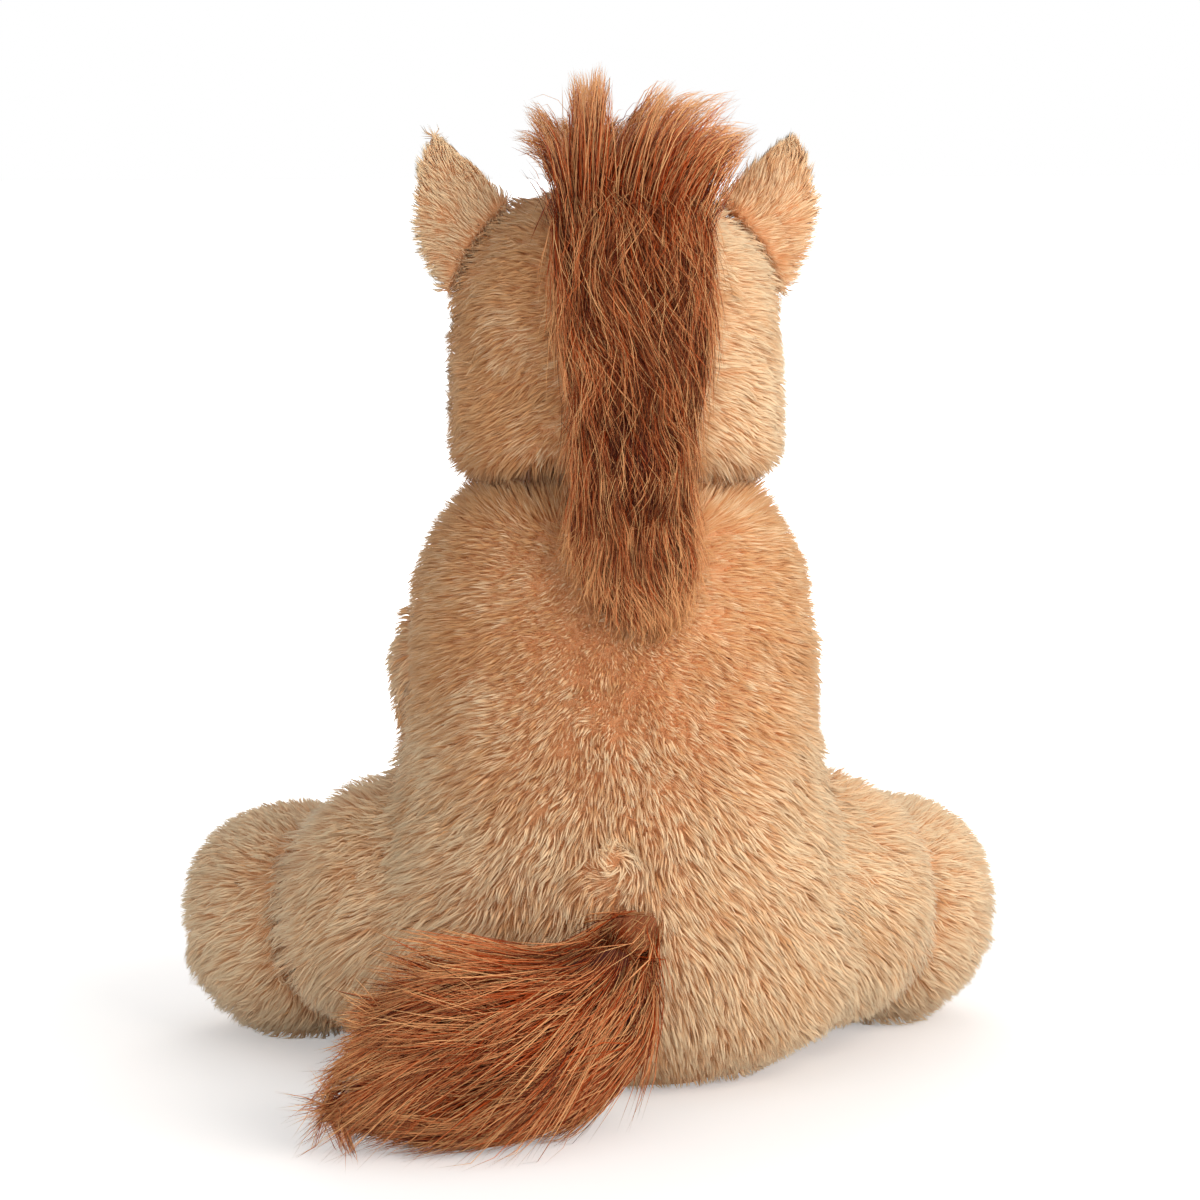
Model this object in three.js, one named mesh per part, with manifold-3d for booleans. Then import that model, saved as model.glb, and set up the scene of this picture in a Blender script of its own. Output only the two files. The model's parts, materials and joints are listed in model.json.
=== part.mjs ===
import * as THREE from 'three';
import { mergeVertices } from 'three/addons/utils/BufferGeometryUtils.js';
import Module from 'manifold-3d';

// Sitting plush horse. Millimetres, +Z up, facing -Y, its left side at +X.
// The origin is the middle of the flat under the seat.

// Clearances and cuts
const gap = 0.3;
const floorCut = 0.5;
const overrun = 600;
const weld = 0.0003;

// How much fuller than an oval a soft form's rings are, where 2 is an oval
const fullness = 2.25;

// Torso
const torsoHeight = 176;
const torsoWidth = 150;
const torsoDepth = 104;
const torsoLean = 14;
const torsoLeanShares = [0, 0, 0.45, 1];
const torsoWideShares = [0.98, 0.97, 0.92, 0.85, 0.81, 0.82, 0.8];
const torsoDeepShares = [1, 1.02, 1, 0.93, 0.88, 0.86, 0.84];
const torsoEndFullness = [5, 4];

// Pellet pouch inside the seat, and the closing slit above it
const pouchWidth = 92;
const pouchDepth = 68;
const pouchHeight = 50;
const pouchRise = 9;
const pouchEndFullness = [2.2, 2.2];
const slitWidth = 1.6;
const slitLength = 54;
const slitRise = 52;
const slitDepth = 40;
const stitchRadius = 0.9;
const stitchSpan = 7;
const stitchRise = 79;
const stitchLength = 24;
const stitchCount = 6;

// Haunches
const haunchHeight = 93;
const haunchThickness = 82;
const haunchSpread = [18, 90];
const haunchForward = [0, 40];
const haunchThickShares = [0.92, 1, 1, 0.92];
const haunchHighShares = [1, 0.97, 0.92, 0.8];
const haunchRiseShares = [0, 0.01, 0.022, 0.03];
const haunchEndFullness = [3, 2.7];

// Hind feet, turning at the hock
const footRadius = 35;
const footLength = 72;
const footToeOut = 15;
const footRoundShares = [0.94, 0.98, 1.02, 1];
const footEndFullness = [2.4, 3.2];
const hockSpread = 78;
const hockForward = 22;
const footTurn = [-4, 15];
const footSoleShare = 0.68;

// Forelegs, swinging at the shoulder
const shoulderSpread = 41;
const shoulderForward = 25;
const shoulderHeight = 116;
const shoulderRadius = 23.5;
const shoulderClearance = 0.7;
const forefootRadius = 22.5;
const forefootSpread = 26;
const forefootForward = 88;
const forelegRoundShares = [0.98, 0.92, 0.88, 0.94, 1.04, 1.02];
const forelegEndFullness = [9, 3];
const forelegSwing = [0, 55];
const forefootEndShare = 0.72;
const forefootSoleShare = 0.66;

// Sole pads
const soleThickness = 2.4;
const soleRoot = 4.8;
const soleEndFullness = [9, 2.4];

// Head, nodding on the neck seam
const neckSink = 5;
const headForward = 2;
const headSide = -2.5;
const headHeight = 88;
const headWidth = 98;
const headDepth = 84;
const headWideShares = [1.05, 1.02, 1, 0.98, 0.95];
const headDeepShares = [0.94, 1, 1, 0.98, 0.95];
const headEndFullness = [8, 2.2];
const headNod = [-8, 8];

// Muzzle
const muzzleWidth = 62;
const muzzleHeight = 52;
const muzzleReach = 54;
const muzzleRise = 31;
const muzzleDrop = 9;
const muzzleWideShares = [1, 0.98, 0.94, 0.96, 0.92];
const muzzleDeepShares = [1, 0.98, 0.92, 0.94, 0.92];
const muzzleEndFullness = [3, 2.8];
const nostrilSpread = 13;
const nostrilRise = 8;
const nostrilWidth = 7;
const nostrilHeight = 4.4;
const nostrilThickness = 1.4;
const mouthWidth = 32;
const mouthDrop = 9;
const mouthSag = 5;
const mouthRadius = 1.5;

// Eyes, each on a shank held by a washer inside the head
const eyeRadius = 6.5;
const eyeDome = 4.5;
const eyeSpread = 31;
const eyeRise = 54;
const shankRadius = 1.6;
const shankLength = 11;
const washerRadius = 6;
const washerThickness = 1.5;
const washerDepth = 5;

// Ears, bending at their base
const earSpread = 40;
const earRise = 65;
const earForward = 2;
const earLength = 40;
const earRoot = 10;
const earWidth = 31;
const earThickness = 9;
const earTilt = 20;
const earHingeTilt = 45;
const earWideShares = [0.86, 1, 0.98, 0.78, 0.5];
const earDeepShares = [1, 1, 0.94, 0.8, 0.6];
const earEndFullness = [5, 2];
const earBend = [-20, 20];
const liningShare = 0.72;
const liningThickness = 2;

// Hair strip: forelock, mane on the head, mane on the back
const forelockHeight = 28;
const forelockWidth = 60;
const forelockDepth = 28;
const forelockSway = 7;
const forelockRoot = 7;
const forelockWideShares = [0.76, 0.92, 1, 0.84];
const forelockDeepShares = [0.9, 1, 0.9, 0.62];
const forelockEndFullness = [4, 2.6];
const maneWidth = 45;
const maneThickness = 24;
const headManeBackShares = [0.16, 0.37, 0.5, 0.54, 0.53];
const headManeRiseShares = [1.02, 0.94, 0.7, 0.4, 0.1];
const headManeWideShares = [1.02, 1.05, 1, 0.89, 0.78];
const headManeDeepShares = [0.8, 0.95, 1, 0.95, 0.9];
const backManeBackShares = [0.28, 0.32, 0.35, 0.36];
const backManeRiseShares = [0.97, 0.9, 0.82, 0.74];
const backManeSway = 5;
const backManeWideShares = [0.76, 0.74, 0.66, 0.42];
const backManeDeepShares = [0.86, 0.86, 0.78, 0.6];
const headManeEndFullness = [3, 4];
const backManeEndFullness = [5, 2.4];

// Tail, lifting at its root
const tailRootHeight = 55;
const tailRootRadius = 7.5;
const tailRootLength = 20;
const tailRootSink = 8;
const tailRootSlope = 32;
const tailEndFullness = [2.6, 2.1];
const tailReach = 88;
const tailOut = 28;
const tailDrop = 45;
const tailThickness = 50;
const tailReachShares = [0, 0.19, 0.46, 0.75, 1];
const tailOutShares = [0, 0.42, 0.74, 0.94, 1];
const tailDropShares = [0, 0.46, 0.63, 0.73, 0.93];
const tailWideShares = [0.5, 0.86, 0.94, 0.82, 0.5];
const tailDeepShares = [0.6, 1.04, 1.07, 0.98, 0.6];
const tailLift = [0, 70];

// Materials
const surface = (color, roughness) => new THREE.MeshStandardMaterial({ color, roughness, metalness: 0 });
const plush = () => surface(0xcd976b, 0.95);
const palePlush = () => surface(0xe2b88e, 0.95);
const hair = () => surface(0x8a4a28, 0.8);
const suede = () => surface(0x6e4630, 0.9);
const thread = () => surface(0x3a2418, 0.8);
const cloth = () => surface(0xd8c2a4, 0.95);
const eyePlastic = () => surface(0x1a0f0a, 0.15);
const washerPlastic = () => surface(0xe8e4dc, 0.5);

const wasm = await Module();
wasm.setup();

const alongX = new THREE.Vector3(1, 0, 0);
const alongY = new THREE.Vector3(0, 1, 0);
const alongZ = new THREE.Vector3(0, 0, 1);
const point = (x, y, z) => new THREE.Vector3(x, y, z);
const radians = THREE.MathUtils.degToRad;

// Solids for joining and cutting, and back to three.js geometry
function solid(geometry) {
  const bare = geometry.clone();
  bare.deleteAttribute('normal');
  bare.deleteAttribute('uv');
  const merged = mergeVertices(bare, weld);
  return new wasm.Manifold(new wasm.Mesh({
    numProp: 3,
    vertProperties: new Float32Array(merged.attributes.position.array),
    triVerts: new Uint32Array(merged.index.array),
  }));
}

function largest(body) {
  return body.decompose().reduce((best, next) => (next.volume() > best.volume() ? next : best));
}

function faceted(body) {
  const { vertProperties, triVerts } = body.getMesh();
  const geometry = new THREE.BufferGeometry();
  geometry.setAttribute('position', new THREE.BufferAttribute(vertProperties, 3));
  geometry.setIndex(new THREE.BufferAttribute(triVerts, 1));
  const flat = geometry.toNonIndexed();
  flat.computeVertexNormals();
  return flat;
}

function cut(body, cutters) {
  return cutters.reduce((left, cutter) => left.subtract(cutter), body);
}

// A point of a ring that is fuller than an oval, as a share of its half sizes
const fullShare = (wave) => Math.sign(wave) * Math.abs(wave) ** (2 / fullness);

// A closed soft form: full rings along a smooth line, rounded at both ends
function swell({ line, wide, deep, roundness, across, rings, sides }, grow) {
  const path = new THREE.CatmullRomCurve3(line, false, 'centripetal');
  const sizes = new THREE.CatmullRomCurve3(wide.map((w, i) => point(w, deep[i], 0)), false, 'catmullrom');
  const first = (1 - Math.cos(Math.PI / (2 * rings))) / 2;
  const positions = [];
  const index = [];
  for (let ring = 0; ring < rings; ring += 1) {
    const turn = (1 - Math.cos(Math.PI * (ring + 0.5) / rings)) / 2;
    const share = THREE.MathUtils.clamp((turn - first) / (1 - 2 * first), 0, 1);
    const power = turn < 0.5 ? roundness[0] : roundness[1];
    const round = (1 - Math.abs(2 * turn - 1) ** power) ** (1 / power);
    const tangent = path.getTangentAt(share);
    const side = across.clone().addScaledVector(tangent, -across.dot(tangent)).normalize();
    const up = tangent.clone().cross(side);
    const size = sizes.getPoint(share);
    const centre = path.getPointAt(share).addScaledVector(tangent, grow * (2 * share - 1));
    for (let step = 0; step < sides; step += 1) {
      const angle = 2 * Math.PI * step / sides;
      const spot = centre.clone()
        .addScaledVector(side, (size.x + grow) * round * fullShare(Math.cos(angle)))
        .addScaledVector(up, (size.y + grow) * round * fullShare(Math.sin(angle)));
      positions.push(spot.x, spot.y, spot.z);
    }
  }
  const lastRing = sides * (rings - 1);
  for (let ring = 0; ring < lastRing; ring += sides) {
    for (let step = 0; step < sides; step += 1) {
      const next = (step + 1) % sides;
      index.push(ring + step, ring + next, ring + sides + next);
      index.push(ring + step, ring + sides + next, ring + sides + step);
    }
  }
  for (let step = 1; step < sides - 1; step += 1) {
    index.push(0, step + 1, step);
    index.push(lastRing, lastRing + step, lastRing + step + 1);
  }
  const geometry = new THREE.BufferGeometry();
  geometry.setAttribute('position', new THREE.Float32BufferAttribute(positions, 3));
  geometry.setIndex(index);
  return geometry;
}

// A form that can be asked for at its own size or grown, standing floorCut into the floor if it stands
function form(shape, stands = false) {
  let lift = 0;
  if (stands) {
    const bare = swell(shape, 0);
    bare.computeBoundingBox();
    lift = -floorCut - bare.boundingBox.min.z;
  }
  return (grow = 0) => swell(shape, grow).translate(0, 0, lift);
}

// Copies of a cutter turned against a joint, so that the piece it cuts stays clear through the range
function turned(geometry, pivot, axis, range, steps) {
  const copies = [];
  for (let step = 0; step <= steps; step += 1) {
    const angle = radians(range[0] + (range[1] - range[0]) * step / steps);
    const swing = new THREE.Matrix4().makeTranslation(pivot)
      .multiply(new THREE.Matrix4().makeRotationAxis(axis, -angle))
      .multiply(new THREE.Matrix4().makeTranslation(pivot.clone().negate()));
    copies.push(solid(geometry.clone().applyMatrix4(swing)));
  }
  return copies;
}

const floorBlock = solid(new THREE.BoxGeometry(overrun, overrun, overrun).translate(0, 0, -overrun / 2));

// The place and facing of a form's surface, met along a straight way
function meet(geometry, from, towards) {
  const target = new THREE.Mesh(geometry, new THREE.MeshBasicMaterial({ side: THREE.DoubleSide }));
  const [hit] = new THREE.Raycaster(from, towards).intersectObject(target);
  const facing = hit.face.normal.clone();
  if (facing.dot(towards) > 0) facing.negate();
  return { spot: hit.point, facing };
}

// A geometry built along +Z, set on a spot with +Z along the facing
function setOn(geometry, { spot, facing }, lift) {
  const turn = new THREE.Quaternion().setFromUnitVectors(alongZ, facing);
  return geometry.applyQuaternion(turn).translate(
    spot.x + facing.x * lift, spot.y + facing.y * lift, spot.z + facing.z * lift);
}

const times = (shares, size) => shares.map((share) => share * size);

const horse = new THREE.Group();

function add(name, body, material) {
  const mesh = new THREE.Mesh(faceted(largest(body)), material);
  mesh.name = name;
  horse.add(mesh);
}

// Torso and haunches
const torso = form({
  line: torsoLeanShares.map((share, i, all) => (
    point(0, -torsoLean * share, torsoHeight * i / (all.length - 1)))),
  wide: times(torsoWideShares, torsoWidth / 2),
  deep: times(torsoDeepShares, torsoDepth / 2),
  roundness: torsoEndFullness, across: alongX, rings: 13, sides: 22,
}, true);
const torsoCutter = solid(torso(gap));

const haunchOf = (side) => form({
  line: haunchRiseShares.map((rise, i, all) => {
    const share = i / (all.length - 1);
    return point(
      side * THREE.MathUtils.lerp(haunchSpread[0], haunchSpread[1], share),
      -THREE.MathUtils.lerp(haunchForward[0], haunchForward[1], share),
      haunchHeight * (0.5 + rise));
  }),
  wide: times(haunchThickShares, haunchThickness / 2),
  deep: times(haunchHighShares, haunchHeight / 2),
  roundness: haunchEndFullness, across: alongX, rings: 9, sides: 16,
}, true);

// Hind feet
const hockOf = (side) => point(side * hockSpread, -hockForward, footRadius);
const footAimOf = (side) => point(side * Math.sin(radians(footToeOut)), -Math.cos(radians(footToeOut)), 0);
const footOf = (side) => form({
  line: [hockOf(side), hockOf(side).addScaledVector(footAimOf(side), footLength)],
  wide: times(footRoundShares, footRadius),
  deep: times(footRoundShares, footRadius),
  roundness: footEndFullness, across: alongX, rings: 9, sides: 16,
}, true);

// A thin round pad centred on the end of a limb, cut by the limb it is sewn to
function pad(centre, aim, radius, limb) {
  const start = centre.clone().addScaledVector(aim, -soleRoot);
  const shape = form({
    line: [start, centre.clone().addScaledVector(aim, soleThickness)],
    wide: [radius, radius],
    deep: [radius, radius],
    roundness: soleEndFullness, across: alongX, rings: 4, sides: 14,
  });
  return cut(solid(shape()), [limb, floorBlock]);
}

// Forelegs: a ball in the shoulder socket and a limb down to the forefoot
const shoulderOf = (side) => point(side * shoulderSpread, -shoulderForward, shoulderHeight);
const forefootOf = (side) => point(side * forefootSpread, -forefootForward, forefootRadius);
const forelegAimOf = (side) => forefootOf(side).sub(shoulderOf(side)).normalize();
const forelegTipOf = (side) => (
  forefootOf(side).addScaledVector(forelegAimOf(side), forefootRadius * forefootEndShare));
const forelegOf = (side) => form({
  line: [shoulderOf(side), forelegTipOf(side)],
  wide: times(forelegRoundShares, forefootRadius),
  deep: times(forelegRoundShares, forefootRadius),
  roundness: forelegEndFullness, across: alongX, rings: 10, sides: 14,
}, true);
const ball = (centre, radius) => {
  const sphere = new THREE.SphereGeometry(radius, 20, 7).rotateZ(Math.PI / 2);
  return solid(sphere.translate(centre.x, centre.y, centre.z));
};

for (const [side, hand] of [[1, 'left'], [-1, 'right']]) {
  const haunch = haunchOf(side);
  add(`${hand}_haunch`, cut(solid(haunch()), [torsoCutter, floorBlock]), plush());

  const foot = footOf(side);
  const footCutters = turned(haunch(gap), hockOf(side), point(0, 0, side), footTurn, 3);
  add(`${hand}_hind_foot`, cut(solid(foot()), [...footCutters, floorBlock]), plush());
  const toe = hockOf(side).addScaledVector(footAimOf(side), footLength);
  const hindPad = pad(toe, footAimOf(side), footRadius * footSoleShare, solid(foot(gap)));
  add(`${hand}_hind_sole`, hindPad, suede());

  const foreleg = forelegOf(side);
  const swingAxis = alongX.clone().negate();
  const legCutters = turned(torso(gap), shoulderOf(side), swingAxis, forelegSwing, 3);
  const haunchCutters = turned(haunch(gap), shoulderOf(side), swingAxis, forelegSwing, 2);
  const limb = cut(solid(foreleg()), [...legCutters, ...haunchCutters, floorBlock]);
  const shoulder = ball(shoulderOf(side), shoulderRadius);
  add(`${hand}_foreleg`, limb.add(shoulder), plush());
  const forePadRadius = forefootRadius * forefootSoleShare;
  const forePad = pad(forelegTipOf(side), forelegAimOf(side), forePadRadius, solid(foreleg(gap)));
  add(`${hand}_fore_sole`, forePad, suede());
}

// Pouch, cavity, slit and stitches
const pouch = form({
  line: [point(0, 0, pouchRise), point(0, 0, pouchRise + pouchHeight)],
  wide: [pouchWidth / 2, pouchWidth / 2],
  deep: [pouchDepth / 2, pouchDepth / 2],
  roundness: pouchEndFullness, across: alongX, rings: 7, sides: 14,
});
add('seat_pellet_pouch', solid(pouch()), cloth());

const slit = new THREE.BoxGeometry(slitWidth, overrun, slitLength)
  .translate(0, overrun / 2 + torsoDepth / 2 - slitDepth, slitRise + slitLength / 2);
const sockets = [1, -1].map((side) => ball(shoulderOf(side), shoulderRadius + shoulderClearance));
add('torso', cut(solid(torso()), [solid(pouch(gap)), solid(slit), floorBlock, ...sockets]), plush());

const stitchPoints = [];
for (let stitch = 0; stitch <= stitchCount; stitch += 1) {
  const height = stitchRise + stitchLength * stitch / stitchCount;
  const across = (stitch % 2 ? 1 : -1) * stitchSpan / 2;
  stitchPoints.push(meet(torso(), point(across, overrun, height), point(0, -1, 0)).spot);
}
const stitchPath = new THREE.CatmullRomCurve3(stitchPoints);
const stitchRing = new THREE.Shape().absarc(0, 0, stitchRadius, 0, 2 * Math.PI);
const stitches = new THREE.ExtrudeGeometry(stitchRing,
  { steps: 4 * stitchCount, extrudePath: stitchPath, curveSegments: 3 });
add('closing_stitches', cut(solid(stitches), [torsoCutter]), thread());

// Head
const headBase = torsoHeight - neckSink;
const headMiddle = -torsoLean - headForward;
const headTop = headBase + headHeight;
const onHead = (x, y, z) => point(headSide + x, y, z);
const neck = point(0, -torsoLean, headBase);
const head = form({
  line: [onHead(0, headMiddle, headBase), onHead(0, headMiddle, headTop)],
  wide: times(headWideShares, headWidth / 2),
  deep: times(headDeepShares, headDepth / 2),
  roundness: headEndFullness, across: alongX, rings: 11, sides: 20,
});
const headCutter = solid(head(gap));

// Muzzle with its nostrils and mouth
const muzzleHeightAt = headBase + muzzleRise;
const muzzleFront = headMiddle - headDepth / 2 - muzzleReach;
const muzzle = form({
  line: [onHead(0, headMiddle, muzzleHeightAt), onHead(0, muzzleFront, muzzleHeightAt - muzzleDrop)],
  wide: times(muzzleWideShares, muzzleWidth / 2),
  deep: times(muzzleDeepShares, muzzleHeight / 2),
  roundness: muzzleEndFullness, across: alongX, rings: 10, sides: 16,
});
add('muzzle', cut(solid(muzzle()), [headCutter]), palePlush());

const backwards = alongY;
for (const [side, hand] of [[1, 'left'], [-1, 'right']]) {
  const place = onHead(side * nostrilSpread, -overrun, muzzleHeightAt - muzzleDrop + nostrilRise);
  const dot = new THREE.SphereGeometry(nostrilWidth / 2, 10, 6)
    .scale(1, nostrilHeight / nostrilWidth, nostrilThickness / nostrilWidth);
  const nostril = setOn(dot, meet(muzzle(), place, backwards), nostrilThickness / 2 + gap);
  add(`${hand}_nostril`, solid(nostril), thread());
}

const mouthPoints = [];
const mouthSteps = 8;
for (let step = 0; step <= mouthSteps; step += 1) {
  const share = 2 * step / mouthSteps - 1;
  const height = muzzleHeightAt - muzzleDrop - mouthDrop - mouthSag * (1 - share * share);
  mouthPoints.push(meet(muzzle(), onHead(mouthWidth / 2 * share, -overrun, height), backwards).spot);
}
const mouthRing = new THREE.Shape().absarc(0, 0, mouthRadius, 0, 2 * Math.PI);
const mouth = new THREE.ExtrudeGeometry(mouthRing,
  { steps: mouthSteps, extrudePath: new THREE.CatmullRomCurve3(mouthPoints), curveSegments: 3 });
add('mouth_stitch', cut(solid(mouth), [solid(muzzle(gap))]), thread());

// Eyes: a dome with a shank, a washer on the shank, and the pocket that takes them
const profile = (pairs) => pairs.map(([x, y]) => new THREE.Vector2(x, y));
const headHoles = [];
for (const [side, hand] of [[1, 'left'], [-1, 'right']]) {
  const seat = meet(head(), onHead(side * eyeSpread, -overrun, headBase + eyeRise), backwards);
  const dome = [];
  const domeSteps = 4;
  for (let step = 0; step <= domeSteps; step += 1) {
    const angle = Math.PI / 2 * step / domeSteps;
    dome.push([step === domeSteps ? 0 : eyeRadius * Math.cos(angle), eyeDome * Math.sin(angle)]);
  }
  const shank = [[0, -shankLength], [shankRadius, -shankLength], [shankRadius, 0]];
  const eye = new THREE.LatheGeometry(profile([...shank, ...dome]), 12).rotateX(Math.PI / 2);
  add(`${hand}_eye`, solid(setOn(eye, seat, gap)), eyePlastic());

  const washerLow = -washerDepth - washerThickness;
  const inner = shankRadius + gap;
  const washer = new THREE.LatheGeometry(profile([[inner, washerLow], [washerRadius, washerLow],
    [washerRadius, -washerDepth], [inner, -washerDepth], [inner, washerLow]]), 12).rotateX(Math.PI / 2);
  add(`${hand}_eye_washer`, solid(setOn(washer, seat, 0)), washerPlastic());

  const boreLength = shankLength + eyeDome;
  const bore = new THREE.CylinderGeometry(inner, inner, boreLength, 12)
    .rotateX(Math.PI / 2).translate(0, 0, eyeDome - gap - boreLength / 2);
  const pocketHeight = washerThickness + 2 * gap;
  const pocket = new THREE.CylinderGeometry(washerRadius + gap, washerRadius + gap, pocketHeight, 12)
    .rotateX(Math.PI / 2).translate(0, 0, washerLow - gap + pocketHeight / 2);
  headHoles.push(solid(setOn(bore, seat, 0)), solid(setOn(pocket, seat, 0)));
}
const neckCutters = turned(torso(gap), neck, alongX, headNod, 2);
add('head', cut(solid(head()), [...neckCutters, ...headHoles]), plush());

// Ears with their linings
for (const [side, hand] of [[1, 'left'], [-1, 'right']]) {
  const earBase = onHead(side * earSpread, headMiddle - earForward, headBase + earRise);
  const aim = point(side * Math.sin(radians(earTilt)), 0, Math.cos(radians(earTilt)));
  const root = earBase.clone().addScaledVector(aim, -earRoot);
  const tip = earBase.clone().addScaledVector(aim, earLength);
  const ear = form({
    line: [root, tip],
    wide: times(earWideShares, earWidth / 2),
    deep: times(earDeepShares, earThickness / 2),
    roundness: earEndFullness, across: alongX, rings: 9, sides: 12,
  });
  const hinge = point(side * Math.cos(radians(earHingeTilt)), 0, -Math.sin(radians(earHingeTilt)));
  const earCutters = turned(head(gap), earBase, hinge, earBend, 2);
  add(`${hand}_ear`, cut(solid(ear()), earCutters), plush());

  const forward = -earThickness / 2;
  const liningRoot = earBase.clone().addScaledVector(aim, -earRoot * liningShare).add(point(0, forward, 0));
  const liningTip = earBase.clone().addScaledVector(aim, earLength * liningShare).add(point(0, forward, 0));
  const lining = form({
    line: [liningRoot, liningTip],
    wide: times(earWideShares, liningShare * earWidth / 2),
    deep: times(earDeepShares, liningThickness),
    roundness: earEndFullness, across: alongX, rings: 7, sides: 10,
  });
  add(`${hand}_ear_lining`, cut(solid(lining()), [...earCutters, solid(ear(gap))]), palePlush());
}

// Forelock and mane
const forelockSteps = forelockWideShares.length - 1;
const forelock = form({
  line: forelockWideShares.map((_, i) => {
    const share = i / forelockSteps;
    const rise = (forelockHeight + forelockRoot) * share - forelockRoot;
    return onHead(-forelockSway * share, headMiddle, headTop + rise);
  }),
  wide: times(forelockWideShares, forelockWidth / 2),
  deep: times(forelockDeepShares, forelockDepth / 2),
  roundness: forelockEndFullness, across: alongX, rings: 8, sides: 14,
});
add('forelock', cut(solid(forelock()), [headCutter]), hair());

const headMane = form({
  line: headManeBackShares.map((share, i) => (
    onHead(0, headMiddle + headDepth * share, headBase + headHeight * headManeRiseShares[i]))),
  wide: times(headManeWideShares, maneWidth / 2),
  deep: times(headManeDeepShares, maneThickness / 2),
  roundness: headManeEndFullness, across: alongX, rings: 10, sides: 14,
});
const backMane = form({
  line: backManeBackShares.map((share, i) => (
    point(-backManeSway * i / (backManeBackShares.length - 1), torsoDepth * share,
      torsoHeight * backManeRiseShares[i]))),
  wide: times(backManeWideShares, maneWidth / 2),
  deep: times(backManeDeepShares, maneThickness / 2),
  roundness: backManeEndFullness, across: alongX, rings: 8, sides: 12,
});
const backManeCutters = turned(backMane(gap), neck, alongX, headNod, 2);
const maneNeckCutters = turned(torso(gap), neck, alongX, headNod, 2);
const headManeBody = cut(solid(headMane()),
  [headCutter, solid(forelock(gap)), ...backManeCutters, ...maneNeckCutters]);
add('head_mane', headManeBody, hair());
const headNodCutters = turned(head(gap), neck, alongX.clone().negate(), headNod, 2);
add('back_mane', cut(solid(backMane()), [torsoCutter, ...headNodCutters]), hair());

// Tail root and tail
const tailSeat = meet(torso(), point(0, overrun, tailRootHeight), point(0, -1, 0)).spot;
const rootAim = point(0, Math.cos(radians(tailRootSlope)), -Math.sin(radians(tailRootSlope)));
const tailRoot = form({
  line: [tailSeat.clone().addScaledVector(rootAim, -tailRootSink),
    tailSeat.clone().addScaledVector(rootAim, tailRootLength - tailRootSink)],
  wide: [tailRootRadius, tailRootRadius],
  deep: [tailRootRadius, tailRootRadius],
  roundness: tailEndFullness, across: alongX, rings: 6, sides: 10,
});
const tail = form({
  line: tailReachShares.map((share, i) => point(
    tailReach * share,
    tailSeat.y + tailRootLength / 2 + tailOut * tailOutShares[i],
    tailRootHeight - tailDrop * tailDropShares[i])),
  wide: times(tailWideShares, tailThickness / 2),
  deep: times(tailDeepShares, tailThickness / 2),
  roundness: tailEndFullness, across: alongY, rings: 11, sides: 16,
}, true);
const tailTorsoCutters = turned(torso(gap), tailSeat, alongX, tailLift, 4);
const tailHaunchCutters = turned(haunchOf(1)(gap), tailSeat, alongX, tailLift, 3);
add('tail_root', cut(solid(tailRoot()), tailTorsoCutters), hair());
const tailCutters = [...tailTorsoCutters, ...tailHaunchCutters, solid(tailRoot(gap)), floorBlock];
add('tail', cut(solid(tail()), tailCutters), hair());

export default horse;
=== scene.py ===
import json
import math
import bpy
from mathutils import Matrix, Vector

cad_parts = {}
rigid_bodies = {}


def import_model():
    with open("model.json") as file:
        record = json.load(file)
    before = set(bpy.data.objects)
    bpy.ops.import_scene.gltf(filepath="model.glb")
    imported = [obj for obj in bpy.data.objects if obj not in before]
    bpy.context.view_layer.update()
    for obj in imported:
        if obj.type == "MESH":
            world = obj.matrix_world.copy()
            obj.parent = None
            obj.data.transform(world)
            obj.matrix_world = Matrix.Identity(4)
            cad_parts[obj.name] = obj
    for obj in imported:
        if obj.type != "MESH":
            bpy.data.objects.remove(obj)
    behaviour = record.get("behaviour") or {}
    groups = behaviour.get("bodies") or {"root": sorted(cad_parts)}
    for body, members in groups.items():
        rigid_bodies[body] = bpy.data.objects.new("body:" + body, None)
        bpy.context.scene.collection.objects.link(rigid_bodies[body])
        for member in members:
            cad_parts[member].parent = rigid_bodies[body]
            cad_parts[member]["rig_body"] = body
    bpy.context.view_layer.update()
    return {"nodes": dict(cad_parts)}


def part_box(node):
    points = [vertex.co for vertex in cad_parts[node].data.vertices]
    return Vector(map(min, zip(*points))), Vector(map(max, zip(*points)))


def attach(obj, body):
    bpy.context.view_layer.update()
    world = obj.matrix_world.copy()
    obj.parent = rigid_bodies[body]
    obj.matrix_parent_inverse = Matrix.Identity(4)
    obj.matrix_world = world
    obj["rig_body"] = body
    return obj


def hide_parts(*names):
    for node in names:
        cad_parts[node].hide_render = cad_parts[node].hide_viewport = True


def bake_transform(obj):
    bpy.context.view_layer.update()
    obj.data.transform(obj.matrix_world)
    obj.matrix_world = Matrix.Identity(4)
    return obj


bl_info = {
    "name": "Plush Horse",
    "version": (1, 0, 0),
    "blender": (4, 5, 0),
    "location": "3D View > Sidebar > Plush Horse",
    "description": "Dresses a sitting plush horse in pile, hair, pads and eyes",
    "category": "Object",
}

import zlib

import bmesh
import bpy
import numpy as np
from bpy.props import FloatProperty, FloatVectorProperty, IntProperty, PointerProperty
from bpy.types import Operator, Panel, PropertyGroup
from mathutils import Matrix, Vector
from mathutils.bvhtree import BVHTree
from mathutils.kdtree import KDTree

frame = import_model()

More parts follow.
